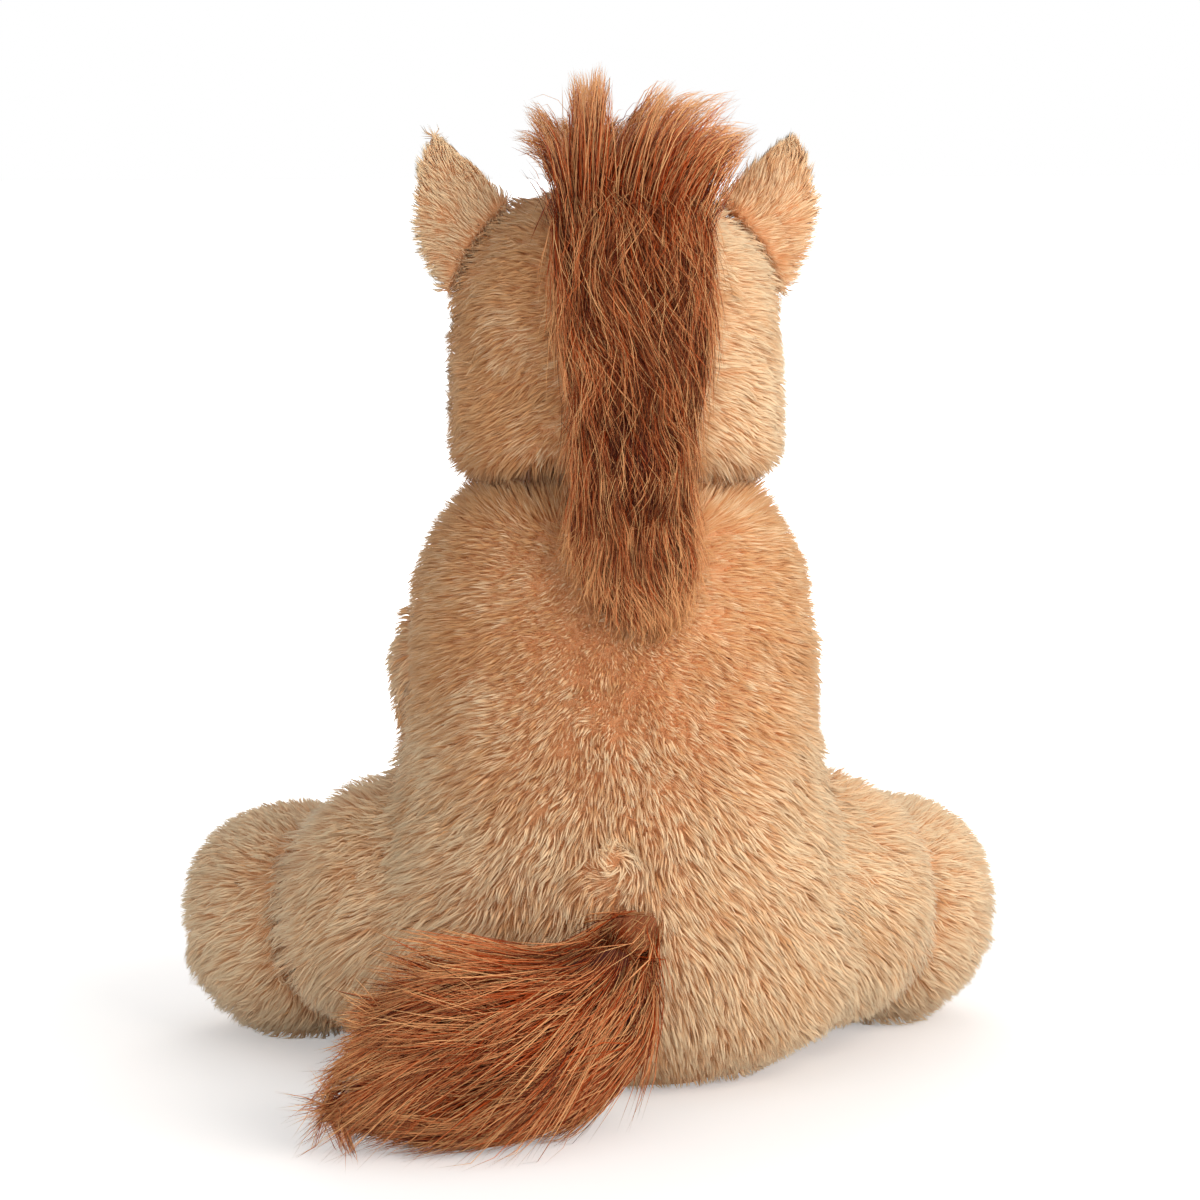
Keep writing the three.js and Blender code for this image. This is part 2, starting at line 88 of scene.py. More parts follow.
MM = 0.001
CM2 = 1e-4
CM2_IN_M2 = 1e4
SIDES = ((1, "left"), (-1, "right"))
FLOOR_GAP = 0.8 * MM
NEAR_FLOOR = 3 * MM
PILE_OVER_FLOOR = 0.4 * MM
STRAND_OVER_FLOOR = 0.3 * MM
SHALLOWER_ON_LIMBS = 0.7 * MM
ROOT_DEPTH = 0.4 * MM
LOCKS_IN_TUFT = 6
MAP_MARGIN = 0.03
MAP_SPAN = 0.94
MAP_WIDTH_OF_STRAND = 0.012
TAIL_BASE_CM2 = 150
WHORL_X, WHORL_Z = 4 * MM, 70 * MM


def srgb(red, green, blue):
    """A screen colour from 0 to 255 as a linear one."""
    parts = (c / 255 for c in (red, green, blue))
    return tuple(c / 12.92 if c <= 0.04045 else ((c + 0.055) / 1.055) ** 2.4 for c in parts)


def colour_property(name, description, colour):
    return FloatVectorProperty(name=name, description=description, subtype="COLOR", size=3,
                               min=0, max=1, default=colour)


def length_property(name, description, default):
    return FloatProperty(name=name, description=description, default=default, min=0, unit="LENGTH",
                         precision=5)


def count_property(name, default):
    return IntProperty(name=name, description="Number of hairs", default=default, min=1)


class HORSE_PG_skin(PropertyGroup):
    """Sizes of the sewn and stuffed skins under the pile"""

    inset: length_property("Body inset", "Depth of the backing in the CAD form", 3.9 * MM)
    back_inset: length_property("Upper back inset", "The same where the pile is short", 2.4 * MM)
    head_inset: length_property("Head inset", "The same on the head", 2.9 * MM)
    muzzle_inset: length_property("Muzzle inset", "The same on the muzzle", 2.4 * MM)
    ear_inset: length_property("Ear inset", "The same on the ears", 2.4 * MM)
    voxel: length_property("Cloth mesh", "Size of the cloth mesh's faces", 5.5 * MM)
    swell: length_property("Stuffing swell", "How far the stuffing may push the cloth out", 2.5 * MM)
    colour: colour_property("Backing", "Colour of the dense pile at the backing", srgb(248, 186, 136))


class HORSE_PG_pile(PropertyGroup):
    """Sizes and colours of the long pile"""

    length: length_property("Body pile", "Length of a lock on the body", 8.2 * MM)
    head_length: length_property("Head pile", "Length of a lock on the head", 5.7 * MM)
    ear_length: length_property("Ear pile", "Length of a lock on the ears", 5.0 * MM)
    muzzle_length: length_property("Muzzle pile", "Length of a lock on the muzzle", 4.6 * MM)
    lining_length: length_property("Lining pile", "Length of a lock in the ears", 3.4 * MM)
    width: length_property("Lock width", "Greatest width of a lock", 0.52 * MM)
    fibre_width: length_property("Fibre width", "Greatest width of a fine fibre between the locks", 0.4 * MM)
    density: FloatProperty(name="Locks", description="Locks on each square centimetre", default=40, min=1)
    fibres: FloatProperty(name="Fibres", description="Fine fibres for each lock", default=4.0, min=0)
    gather: FloatProperty(name="Gather", description="How far the tips of near locks draw together",
                          default=0.5, min=0, max=1)
    tip: colour_property("Tips", "Colour of the tips", srgb(255, 222, 176))
    middle: colour_property("Middle", "Colour halfway up the pile", srgb(253, 202, 150))
    # The roots' deeper colour is partly the pile's own and partly painted shade among the crowded locks.
    root: colour_property("Roots", "Colour at the backing", srgb(240, 166, 110))
    pale_tip: colour_property("Pale tips", "Colour of the pale pile's tips", srgb(250, 222, 184))
    pale_root: colour_property("Pale roots", "Colour of the pale pile's roots", srgb(236, 184, 130))


class HORSE_PG_hair(PropertyGroup):
    """Sizes and colours of the long hair"""

    width: length_property("Hair width", "Width of a hair bundle", 0.27 * MM)
    mane_length: length_property("Mane hair", "Length of a hair in the mane", 34 * MM)
    mane_hairs: count_property("Mane hairs", 12000)
    forelock_hairs: count_property("Forelock hairs", 4400)
    tail_hairs: count_property("Tail hairs", 7600)
    dark: colour_property("Dark hair", "The darkest hair", srgb(96, 24, 0))
    middle: colour_property("Hair", "The hair's main colour", srgb(206, 86, 28))
    light: colour_property("Light hair", "The lightest hair and the tips", srgb(252, 194, 134))


class HORSE_PG_trim(PropertyGroup):
    """Colours of the pads, threads and eyes"""

    suede: colour_property("Soles", "Colour of the suede soles", srgb(112, 72, 50))
    thread: colour_property("Thread", "Colour of the embroidery", srgb(66, 40, 26))
    seam: colour_property("Seam thread", "Colour of the thread that closes the back", srgb(214, 150, 100))
    cloth: colour_property("Cloth", "Colour of the inner cloth", srgb(216, 194, 164))
    tab: colour_property("Tail tab", "Colour of the tab that carries the tail", srgb(150, 84, 46))
    eye: colour_property("Eyes", "Colour of the eyes' brown", srgb(22, 10, 6))
    washer: colour_property("Washers", "Colour of the eye washers", srgb(232, 228, 220))


class HORSE_PG_stage(PropertyGroup):
    """Camera and lights"""

    turn: FloatProperty(name="Turn", description="Camera's place round the toy, from the front",
                        default=math.radians(174), subtype="ANGLE")
    rise: FloatProperty(name="Rise", description="Camera's height over the horizon",
                        default=math.radians(8.2), subtype="ANGLE")
    distance: length_property("Distance", "From the camera to the point it looks at", 1.3)
    aim: length_property("Aim", "Height of the point that the camera looks at", 130 * MM)
    lens: FloatProperty(name="Lens", description="Focal length in millimetres", default=134.6)
    shift: FloatVectorProperty(name="Shift", description="Sideways and upward shift of the picture", size=2,
                               default=(-0.011, 0.0245))
    key: FloatProperty(name="Key light", description="Power of the soft light at the right", default=13.1,
                       unit="POWER")
    fill: FloatProperty(name="Fill light", description="Power of the soft light at the left", default=3.5,
                        unit="POWER")
    ambient: FloatProperty(name="Ambient", description="Strength of the light all round", default=0.55)
    key_colour: colour_property("Key colour", "Colour of the key light", (1.0, 0.93, 0.86))
    fill_colour: colour_property("Fill colour", "Colour of the fill light", (1.0, 0.94, 0.87))


GROUPS = {"skin": HORSE_PG_skin, "pile": HORSE_PG_pile, "hair": HORSE_PG_hair, "trim": HORSE_PG_trim,
          "stage": HORSE_PG_stage}


def setting(group):
    """The scene's settings of one group."""
    return getattr(bpy.context.scene, "plush_horse_" + group)


# Shaders


class Wire:
    """A socket of a material, on which Math nodes can be built."""

    def __init__(self, shader, socket):
        self.shader = shader
        self.socket = socket

    def __mul__(self, other):
        return self.shader.add("ShaderNodeMath", {"operation": "MULTIPLY"}, {0: self, 1: other})

    def most(self, other):
        return self.shader.add("ShaderNodeMath", {"operation": "MAXIMUM"}, {0: self, 1: other})

    def beside(self, output):
        """Another output of the same node."""
        return Wire(self.shader, self.socket.node.outputs[output])


class Shader:
    """A new material with one Principled shader, and one method that adds any other node."""

    def __init__(self, name, **settings):
        self.material = bpy.data.materials.new(name)
        self.material.use_nodes = True
        self.tree = self.material.node_tree
        self.principled = self.tree.nodes["Principled BSDF"]
        for socket, value in settings.items():
            self.principled.inputs[socket.replace("_", " ")].default_value = value

    def add(self, kind, choices=None, values=None, output=0):
        node = self.tree.nodes.new(kind)
        for choice, value in (choices or {}).items():
            if choice == "stops":
                self.stops(node.color_ramp.elements, value)
            else:
                setattr(node, choice, value)
        for socket, value in (values or {}).items():
            self.feed(node.inputs[socket], value)
        return Wire(self, node.outputs[output])

    def stops(self, elements, stops):
        while len(elements) < len(stops):
            elements.new(0.5)
        for element, (place, colour) in zip(elements, stops):
            element.position = place
            element.color = (*colour, 1)

    def feed(self, socket, value):
        if isinstance(value, Wire):
            self.tree.links.new(value.socket, socket)
        elif hasattr(value, "__len__") and len(value) == 3 and len(socket.default_value) == 4:
            socket.default_value = (*value, 1)
        else:
            socket.default_value = value

    def drive(self, socket, value):
        self.feed(self.principled.inputs[socket], value)

    def place(self):
        return self.add("ShaderNodeTexCoord", output="Object")

    def noise(self, scale, detail):
        return self.add("ShaderNodeTexNoise", None,
                        {"Vector": self.place(), "Scale": scale, "Detail": detail})

    def strand_map(self):
        """The two parts of the OFBake map: the strand's tone across, and the way from root to tip up."""
        spot = self.add("ShaderNodeUVMap", {"uv_map": "OFBake"})
        tone = self.add("ShaderNodeSeparateXYZ", None, {0: spot})
        return tone, tone.beside(1)

    def spread(self, value, low, high, first, last, kind="LINEAR"):
        """The value between low and high, brought between first and last."""
        return self.add("ShaderNodeMapRange", {"interpolation_type": kind},
                        {"Value": value, "From Min": low, "From Max": high, "To Min": first, "To Max": last})

    def ramp(self, factor, *stops):
        return self.add("ShaderNodeValToRGB", {"stops": stops}, {0: factor})

    def mix(self, factor, first, second):
        return self.add("ShaderNodeMix", {"data_type": "RGBA"}, {0: factor, 6: first, 7: second}, output=2)

    def bump(self, height, strength, distance):
        return self.add("ShaderNodeBump", None,
                        {"Height": height, "Strength": strength, "Distance": distance})


def tinted(colour, *factors):
    """A colour times one factor, or one for each of its three parts."""
    factors = factors if len(factors) == 3 else factors * 3
    return tuple(min(1.0, c * factor) for c, factor in zip(colour, factors))


def strand_material(name, root, middle, tip, **settings):
    """Pile whose tone goes from deep orange to pale, and each strand from its root's colour to its tip's. The
    deeper roots are partly the pile's own colour and partly painted shade among the crowded locks.
    """
    shader = Shader(name, **settings)
    tone, along = shader.strand_map()
    deep, pale = (0.8, 0.655, 0.53), (1.03, 1.16, 1.34)
    dark, light = (shader.ramp(along, (0.0, tinted(root, *shift)), (0.5, tinted(middle, *shift)),
                               (1.0, tinted(tip, *shift))) for shift in (deep, pale))
    shader.drive("Base Color", shader.mix(tone, dark, light))
    return shader.material


def backing_material(name, colour):
    """The dense short fibres at the backing, seen between the locks."""
    shader = Shader(name, Roughness=0.95)
    patches = shader.noise(60, 2)
    fibres = shader.noise(1400, 4)
    shade = shader.mix(patches, tinted(colour, 0.85), tinted(colour, 1.1))
    shader.drive("Base Color", shader.mix(fibres * 0.7, shade, tinted(colour, 0.55)))
    shader.drive("Normal", shader.bump(fibres, 0.8, 0.6 * MM))
    return shader.material


def suede_material(name, colour):
    shader = Shader(name, Roughness=0.92, Sheen_Weight=0.1, Sheen_Roughness=0.5, Specular_IOR_Level=0.2)
    worn = shader.noise(90, 3)
    nap = shader.noise(2600, 3)
    shade = shader.ramp(worn, (0.3, tinted(colour, 0.82)), (0.7, tinted(colour, 1.22)))
    shader.drive("Base Color", shader.mix(nap * 0.45, shade, tinted(colour, 0.6)))
    shader.drive("Normal", shader.bump(nap, 0.6, 0.3 * MM))
    return shader.material


def thread_material(name, colour):
    shader = Shader(name, Roughness=0.55, Sheen_Weight=0.3)
    tone = shader.strand_map()[0]
    shader.drive("Base Color", shader.ramp(tone, (0.0, tinted(colour, 0.7)), (1.0, tinted(colour, 1.5))))
    return shader.material


def cloth_material(name, colour):
    """Plain woven cotton, for what lies inside."""
    shader = Shader(name, Roughness=0.9)
    warp, weft = (shader.add("ShaderNodeTexWave", {"bands_direction": way},
                             {"Scale": 260, "Vector": shader.place()}) for way in "XZ")
    weave = warp.beside("Fac") * weft.beside("Fac")
    shader.drive("Base Color", shader.mix(weave, tinted(colour, 0.82), colour))
    shader.drive("Normal", shader.bump(weave, 0.5, 0.2 * MM))
    return shader.material


def eye_material(name, colour):
    """Glossy moulded plastic, brown at the rim and almost black in the middle."""
    shader = Shader(name, Roughness=0.08, Specular_IOR_Level=0.3, Coat_Weight=0.1, Coat_Roughness=0.03)
    from_middle = shader.strand_map()[1]
    black = (0.006, 0.004, 0.003)
    shader.drive("Base Color", shader.ramp(from_middle, (0.0, black), (0.58, black), (0.66, colour),
                                           (0.86, tinted(colour, 1.5)), (0.95, black)))
    return shader.material


def washer_material(name, colour):
    shader = Shader(name, Roughness=0.4)
    grain = shader.noise(900, 2)
    shader.drive("Base Color", shader.mix(grain, tinted(colour, 0.92), colour))
    shader.drive("Normal", shader.bump(grain, 0.15, 0.1 * MM))
    return shader.material


def finish_of(name, maker, *values, **settings):
    """The material of that name, made the first time."""
    return bpy.data.materials.get(name) or maker(name, *values, **settings)


def backing_finish():
    return finish_of("backing", backing_material, setting("skin").colour)


def pale_backing_finish():
    return finish_of("pale_backing", backing_material, setting("pile").pale_root)


def pile_finish():
    pile = setting("pile")
    return finish_of("long_pile", strand_material, pile.root, pile.middle, pile.tip,
                     Roughness=0.8, Sheen_Weight=0.15, Sheen_Roughness=0.5, Specular_IOR_Level=0.2)


def pale_finish():
    pile = setting("pile")
    return finish_of("pale_pile", strand_material, pile.pale_root, pile.pale_tip, pile.pale_tip,
                     Roughness=0.75, Sheen_Weight=0.25, Sheen_Roughness=0.5)


def hair_finish():
    hair = setting("hair")
    return finish_of("long_hair", hair_material, hair.dark, hair.middle, hair.light,
                     Roughness=0.4, Specular_IOR_Level=0.12)


def hair_material(name, dark, middle, light, **settings):
    """Hair that goes from dark hairs to light ones, each darker towards its root with painted shade, and on
    each light one to a paler tip, partly the hair's own pale ends and partly painted light shining through
    them.
    """
    shader = Shader(name, **settings)
    tone, along = shader.strand_map()
    strand = shader.ramp(tone, (0.0, tinted(dark, 0.6)), (0.3, dark), (0.6, middle), (1.0, light))
    # Painted shade: each hair darkens towards its root, where the hairs crowd.
    shade = shader.ramp(along, (0.0, (0.45, 0.45, 0.45)), (0.35, (0.9, 0.9, 0.9)), (1.0, (1, 1, 1)))
    body = shader.add("ShaderNodeMix", {"data_type": "RGBA", "blend_type": "MULTIPLY"},
                      {0: 1.0, 6: strand, 7: shade}, output=2)
    # Partly the hair's own pale ends and partly painted light shining through the thin tips.
    tip_light_painted = shader.spread(along, 0.5, 1.0, 0.0, 1.0)
    on_light = shader.spread(tone, 0.3, 1.0, 0.1, 0.85)
    shader.drive("Base Color", shader.mix(tip_light_painted * on_light, body, light))
    return shader.material


# Reading and making meshes


def random_for(name):
    """A random source that gives the same numbers in each run."""
    return np.random.default_rng(zlib.crc32(name.encode()))


def read(items, what, width, kind=np.float32):
    values = np.empty(len(items) * width, kind)
    items.foreach_get(what, values)
    return values.reshape(-1, width) if width > 1 else values


def unit(vectors):
    return vectors / np.maximum(np.linalg.norm(vectors, axis=-1, keepdims=True), 1e-12)


def dot(first, second):
    return (first * second).sum(axis=-1, keepdims=True)


def across(way, facing):
    """The part of a way that lies along a surface, as a unit vector."""
    return unit(way - facing * dot(way, facing))


def smooth_step(low, high, values):
    share = np.clip((values - low) / (high - low), 0, 1)
    return share * share * (3 - 2 * share)


def ease(low, high, values):
    """Goes from 0 to 1 between two places in millimetres, gently at both ends."""
    return smooth_step(low * MM, high * MM, values)


def bell(values, width):
    """1 at zero, and falling away on both sides over a width in millimetres."""
    return np.exp(-(values / (width * MM)) ** 2)


def ripple(spots, wavelength, name):
    """Smooth noise about zero, of plane waves whose lengths lie near the wavelength."""
    rng = random_for(name)
    waves = 10
    ways = unit(rng.normal(size=(waves, 3))) * rng.uniform(0.6, 1.5, (waves, 1)) * 2 * math.pi / wavelength
    phases = rng.uniform(0, 2 * math.pi, waves)
    return np.sin(spots @ ways.T + phases).sum(axis=1) / math.sqrt(waves / 2)


def new_piece(name, bm, material=None):
    mesh = bpy.data.meshes.new(name)
    bm.to_mesh(mesh)
    bm.free()
    piece = bpy.data.objects.new(name, mesh)
    bpy.context.scene.collection.objects.link(piece)
    if material:
        mesh.materials.append(material)
    mesh.shade_smooth()
    return piece


def copies_of(nodes):
    """A bmesh with merged copies of CAD nodes."""
    bm = bmesh.new()
    for node in nodes:
        bm.from_mesh(frame["nodes"][node].data)
    bmesh.ops.remove_doubles(bm, verts=bm.verts, dist=0.02 * MM)
    return bm


def settle(piece):
    """Applies the piece's modifiers."""
    graph = bpy.context.evaluated_depsgraph_get()
    done = bpy.data.meshes.new_from_object(piece.evaluated_get(graph))
    piece.modifiers.clear()
    piece.data = done


def keep_outer_shell(piece):
    """Deletes what the remesh left inside, such as the walls of the pouch's cavity."""
    bm = bmesh.new()
    bm.from_mesh(piece.data)
    left = set(bm.verts)
    shells = []
    while left:
        shell = [left.pop()]
        for vert in shell:
            near = {edge.other_vert(vert) for edge in vert.link_edges} & left
            left -= near
            shell.extend(near)
        shells.append(shell)
    shells.sort(key=len)
    bmesh.ops.delete(bm, geom=[vert for shell in shells[:-1] for vert in shell], context="VERTS")
    bm.to_mesh(piece.data)
    bm.free()


def hull_of(name, nodes, low, high, material):
    """A closed form drawn tight round the parts of CAD nodes between two heights."""
    bm = copies_of(nodes)
    outside = [vert for vert in bm.verts if not low < vert.co.z < high]
    bmesh.ops.delete(bm, geom=outside, context="VERTS")
    hull = bmesh.ops.convex_hull(bm, input=bm.verts)
    bmesh.ops.delete(bm, geom=list({*hull["geom_interior"], *hull["geom_unused"], *hull["geom_holes"]}),
                     context="VERTS")
    bmesh.ops.recalc_face_normals(bm, faces=bm.faces)
    return new_piece(name, bm, material)


def stuffed(name, nodes, inset, voxel, material, smoothings=6, swell=0.0, meets=()):
    """A sewn and stuffed skin in the form of CAD nodes, which it replaces. It is set in by the depth of its
    pile, which may be a function of the place, but not where it meets its neighbours, as at the neck."""
    piece = new_piece(name, copies_of(nodes), material)
    remesh = piece.modifiers.new("cloth mesh", "REMESH")
    remesh.mode = "VOXEL"
    remesh.voxel_size = voxel
    settle(piece)
    keep_outer_shell(piece)
    bm = bmesh.new()
    bm.from_mesh(piece.data)
    for _ in range(smoothings):
        bmesh.ops.smooth_vert(bm, verts=bm.verts, factor=0.5,
                              use_axis_x=True, use_axis_y=True, use_axis_z=True)
    bm.normal_update()
    neighbours = cad_tree(*meets) if meets else None
    smoothed = depth_in(cad_tree(*nodes), [vert.co for vert in bm.verts])
    free = []
    for vert, already in zip(bm.verts, smoothed):
        near = neighbours.find_nearest(vert.co)[3] if neighbours else 1
        free.append(ease(1.2, 5.5, near))
        on_floor = vert.co.z < NEAR_FLOOR and vert.normal.z < -0.6
        spare = 0.4 * swell
        depth = (inset(vert.co) if callable(inset) else inset) + spare
        vert.co -= vert.normal * (depth - np.clip(already, -2 * MM, depth)) * free[-1]
        vert.co.z = FLOOR_GAP if on_floor else max(vert.co.z, FLOOR_GAP)
    bm.to_mesh(piece.data)
    bm.free()
    if swell:
        swell_with_stuffing(piece, swell * np.array(free)[:, None])
    finer = piece.modifiers.new("finer", "SUBSURF")
    finer.levels = finer.render_levels = 1
    settle(piece)
    piece.data.materials.clear()
    piece.data.materials.append(material)
    piece.data.shade_smooth()
    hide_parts(*nodes)
    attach(piece, frame["nodes"][nodes[0]]["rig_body"])
    return piece


def swell_with_stuffing(piece, most):
    """Blows the cloth out with a cloth simulation, and lets no point move further than the most."""
    before = read(piece.data.vertices, "co", 3)
    cloth = piece.modifiers.new("stuffing", "CLOTH")
    cloth.settings.use_pressure = True
    cloth.settings.uniform_pressure_force = 4
    cloth.settings.effector_weights.gravity = 0
    scene = bpy.context.scene
    for step in range(1, 21):
        scene.frame_set(step)
    settle(piece)
    scene.frame_set(1)
    moved = read(piece.data.vertices, "co", 3) - before
    far = np.linalg.norm(moved, axis=1, keepdims=True)
    after = before + moved * np.minimum(1, most / np.maximum(far, 1e-9))
    after[:, 2] = np.maximum(after[:, 2], FLOOR_GAP)
    piece.data.vertices.foreach_set("co", after.ravel())


def tree_of(*pieces):
    """A search tree over the faces of pieces."""
    verts = []
    faces = []
    for piece in pieces:
        start = len(verts)
        verts.extend(vert.co.copy() for vert in piece.data.vertices)
        faces.extend([start + i for i in face.vertices] for face in piece.data.polygons)
    return BVHTree.FromPolygons(verts, faces)


def made(name):
    """A piece that an earlier step made."""
    return bpy.data.objects[name]


def cad_tree(*nodes):
    return tree_of(*(frame["nodes"][node] for node in nodes))


def nearest(tree, spots):
    """The nearest point of a tree's surface to each spot, and its facing."""
    found = [tree.find_nearest(spot) for spot in spots]
    return (np.array([hit[0] for hit in found]), np.array([hit[1] for hit in found]))


def depth_in(tree, spots):
    """How deep each spot lies inside a tree's closed forms, and below zero outside them."""
    # An odd way, along which no ray is likely to run in a face or through an edge.
    way = Vector((0.31, 0.17, 0.93))
    depths = []
    for spot in spots:
        apart = tree.find_nearest(spot)[3]
        leaves = tree.ray_cast(spot, way)[1]
        inside = leaves is not None and leaves.dot(way) > 0
        depths.append(apart if inside else -apart)
    return np.array(depths)


def scattered(piece, per_cm2, name):
    """Random spots over a piece and their facings."""
    mesh = piece.data
    mesh.calc_loop_triangles()
    spots = read(mesh.vertices, "co", 3)
    facings = read(mesh.vertices, "normal", 3)
    corners = read(mesh.loop_triangles, "vertices", 3, np.int32)
    a, b, c = (spots[corners[:, i]] for i in range(3))
    areas = np.linalg.norm(np.cross(b - a, c - a), axis=1) / 2
    rng = random_for(name)
    count = int(areas.sum() * CM2_IN_M2 * per_cm2)
    chosen = rng.choice(len(areas), count, p=areas / areas.sum())
    share = rng.random((count, 2))
    share = np.where(share.sum(axis=1, keepdims=True) > 1, 1 - share, share)
    weights = np.column_stack([1 - share.sum(axis=1), share])[:, :, None]
    corners = corners[chosen]
    return (spots[corners] * weights).sum(axis=1), unit((facings[corners] * weights).sum(axis=1))


# Strands


def strand_form(levels, sides=3):
    """The points and faces of one closed tapering strand, with its height counted in levels."""
    bm = bmesh.new()
    bmesh.ops.create_cone(bm, cap_ends=True, segments=sides, radius1=1, radius2=0, depth=levels,
                          matrix=Matrix.Translation((0, 0, levels / 2)))
    for level in range(1, levels):
        bmesh.ops.bisect_plane(bm, geom=bm.verts[:] + bm.edges[:] + bm.faces[:], dist=1e-6,
                               plane_co=(0, 0, level), plane_no=(0, 0, 1))
    bmesh.ops.remove_doubles(bm, verts=bm.verts, dist=1e-5)
    bmesh.ops.triangulate(bm, faces=bm.faces)
    bmesh.ops.recalc_face_normals(bm, faces=bm.faces)
    bm.verts.index_update()
    spots = np.array([vert.co[:] for vert in bm.verts])
    faces = np.array([[vert.index for vert in face.verts] for face in bm.faces])
    bm.free()
    return spots, faces


def plant(name, paths, widths, tones, outline, material, sides=3, facings=None, softness=0.0):
    """A mesh with a strand along each path. The outline gives the share of its width at each level. Strands
    with facings take a share of their shading from the surface that they stand on, as fine fibres do."""
    levels = paths.shape[1] - 1
    form, faces = strand_form(levels, sides)
    level = form[:, 2].round().astype(int)
    round_about = unit(form[:, :2]) * (level < levels)[:, None]
    half = np.asarray(outline)[level] * (level < levels)
    tangents = unit(np.gradient(paths, axis=1))
    rng = random_for(name)
    side = unit(np.cross(tangents, rng.normal(size=(len(paths), 1, 3))))
    other = np.cross(tangents, side)
    push = round_about[:, :1] * side[:, level] + round_about[:, 1:] * other[:, level]
    verts = paths[:, level] + push * half[:, None] * widths[:, None, None] / 2
    verts[..., 2] = np.maximum(verts[..., 2], STRAND_OVER_FLOOR)
    corners = (faces[None] + len(form) * np.arange(len(paths))[:, None, None]).reshape(-1, 3)

    mesh = bpy.data.meshes.new(name)
    mesh.vertices.add(len(paths) * len(form))
    mesh.vertices.foreach_set("co", verts.astype(np.float32).ravel())
    mesh.loops.add(corners.size)
    mesh.loops.foreach_set("vertex_index", corners.astype(np.int32).ravel())
    mesh.polygons.add(len(corners))
    mesh.polygons.foreach_set("loop_start", np.arange(0, corners.size, 3, dtype=np.int32))
    share = MAP_MARGIN + MAP_SPAN * level / levels
    tone = MAP_MARGIN + MAP_SPAN * np.clip(tones, 0, 1)[:, None]
    across_map = tone + MAP_WIDTH_OF_STRAND * round_about[:, 0]
    up_map = np.broadcast_to(share + MAP_WIDTH_OF_STRAND * round_about[:, 1], across_map.shape)
    places = np.stack([across_map, up_map], axis=-1).reshape(-1, 2)[corners.ravel()]
    mesh.uv_layers.new(name="OFBake").uv.foreach_set("vector", places.astype(np.float32).ravel())
    mesh.update(calc_edges=True)
    mesh.shade_smooth()
    mesh.materials.append(material)
    if facings is not None:
        soft = unit((1 - softness) * push + softness * facings[:, None] + 0.1 * tangents[:, level])
        shading = mesh.attributes.new("soft", "FLOAT_VECTOR", "POINT")
        shading.data.foreach_set("vector", soft.astype(np.float32).ravel())
    return mesh


def bundle(strands, body, slot, *nodes):
    """One piece of all the strands, named as their first mesh, which rides on a body and replaces nodes."""
    first = strands[0]
    if len(strands) > 1:
        bm = bmesh.new()
        for mesh in strands:
            bm.from_mesh(mesh)
        bm.to_mesh(first)
        bm.free()
    for mesh in strands[1:]:
        bpy.data.meshes.remove(mesh)
    shading = first.attributes.get("soft")
    if shading:
        first.normals_split_custom_set_from_vertices(read(shading.data, "vector", 3).tolist())
        first.attributes.remove(first.attributes["soft"])
    piece = bpy.data.objects.new(first.name, first)
    bpy.context.scene.collection.objects.link(piece)
    if body:
        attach(piece, body)
    if nodes:
        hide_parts(*nodes)
    return piece


LOCK_OUTLINE = (0.7, 1.0, 0.0)
FIBRE_OUTLINE = (1.0, 0.0)
HAIR_OUTLINE = (0.7, 1.0, 1.0, 0.85, 0.0)
STITCH_OUTLINE = (0.6, 1.0, 1.0, 1.0, 1.0, 0.7, 0.0)
HAIR_STEPS = len(HAIR_OUTLINE) - 1
STITCH_STEPS = len(STITCH_OUTLINE) - 1


def locks(spots, facings, ways, lengths, lean, gather):
    """Short bent paths that stand on a surface and lean along their ways, their tips drawn into tufts.
    lean holds two angles from upright, at the root and at the tip."""
    first = unit(facings * np.cos(lean[0])[:, None] + ways * np.sin(lean[0])[:, None])
    last = unit(facings * np.cos(lean[1])[:, None] + ways * np.sin(lean[1])[:, None])
    middle = spots + first * lengths[:, None] * 0.5
    tip = middle + last * lengths[:, None] * 0.5
    leaders = np.arange(0, len(spots), LOCKS_IN_TUFT)
    tree = KDTree(len(leaders))
    for leader in leaders:
        tree.insert(spots[leader], leader)
    tree.balance()
    lead = np.array([tree.find(spot)[1] for spot in spots])
    tip += (tip[lead] - tip) * gather[:, None]
    middle += (middle[lead] - middle) * gather[:, None] * 0.35
    return np.stack([spots - facings * ROOT_DEPTH, middle, tip], axis=1)


def comb_body(spots, facings):
    """The way the body's pile lies: outward at the shoulders, down below, and round a whorl over the tail."""
    x, y, z = spots.T
    high = ease(60, 140, z)
    outward = np.tanh(x / (34 * MM)) * (0.6 + 0.2 * high)
    down = -(1.0 - 0.5 * high) + 0.9 * ease(158, 172, z)
    ways = np.column_stack([outward, -0.25 * np.ones_like(x), down])
    whorl = np.column_stack([x - WHORL_X, np.zeros_like(x), z - WHORL_Z])
    near = 0.95 * bell(np.linalg.norm(whorl, axis=1), 9) * (y > 20 * MM)
    spin = np.cross(unit(whorl), np.array([0, 1, 0]))
    return ways * (1 - near[:, None]) + spin * near[:, None]


def upright_back(spots):
    """The upper back and the neck, where the pile stands up."""
    x, y, z = spots.T
    middle = 0.35 + 0.65 * bell(x, 40)
    return np.maximum(0.5 * middle * (y > 0) * ease(70, 110, z),
                      0.85 * ease(157, 167, z))


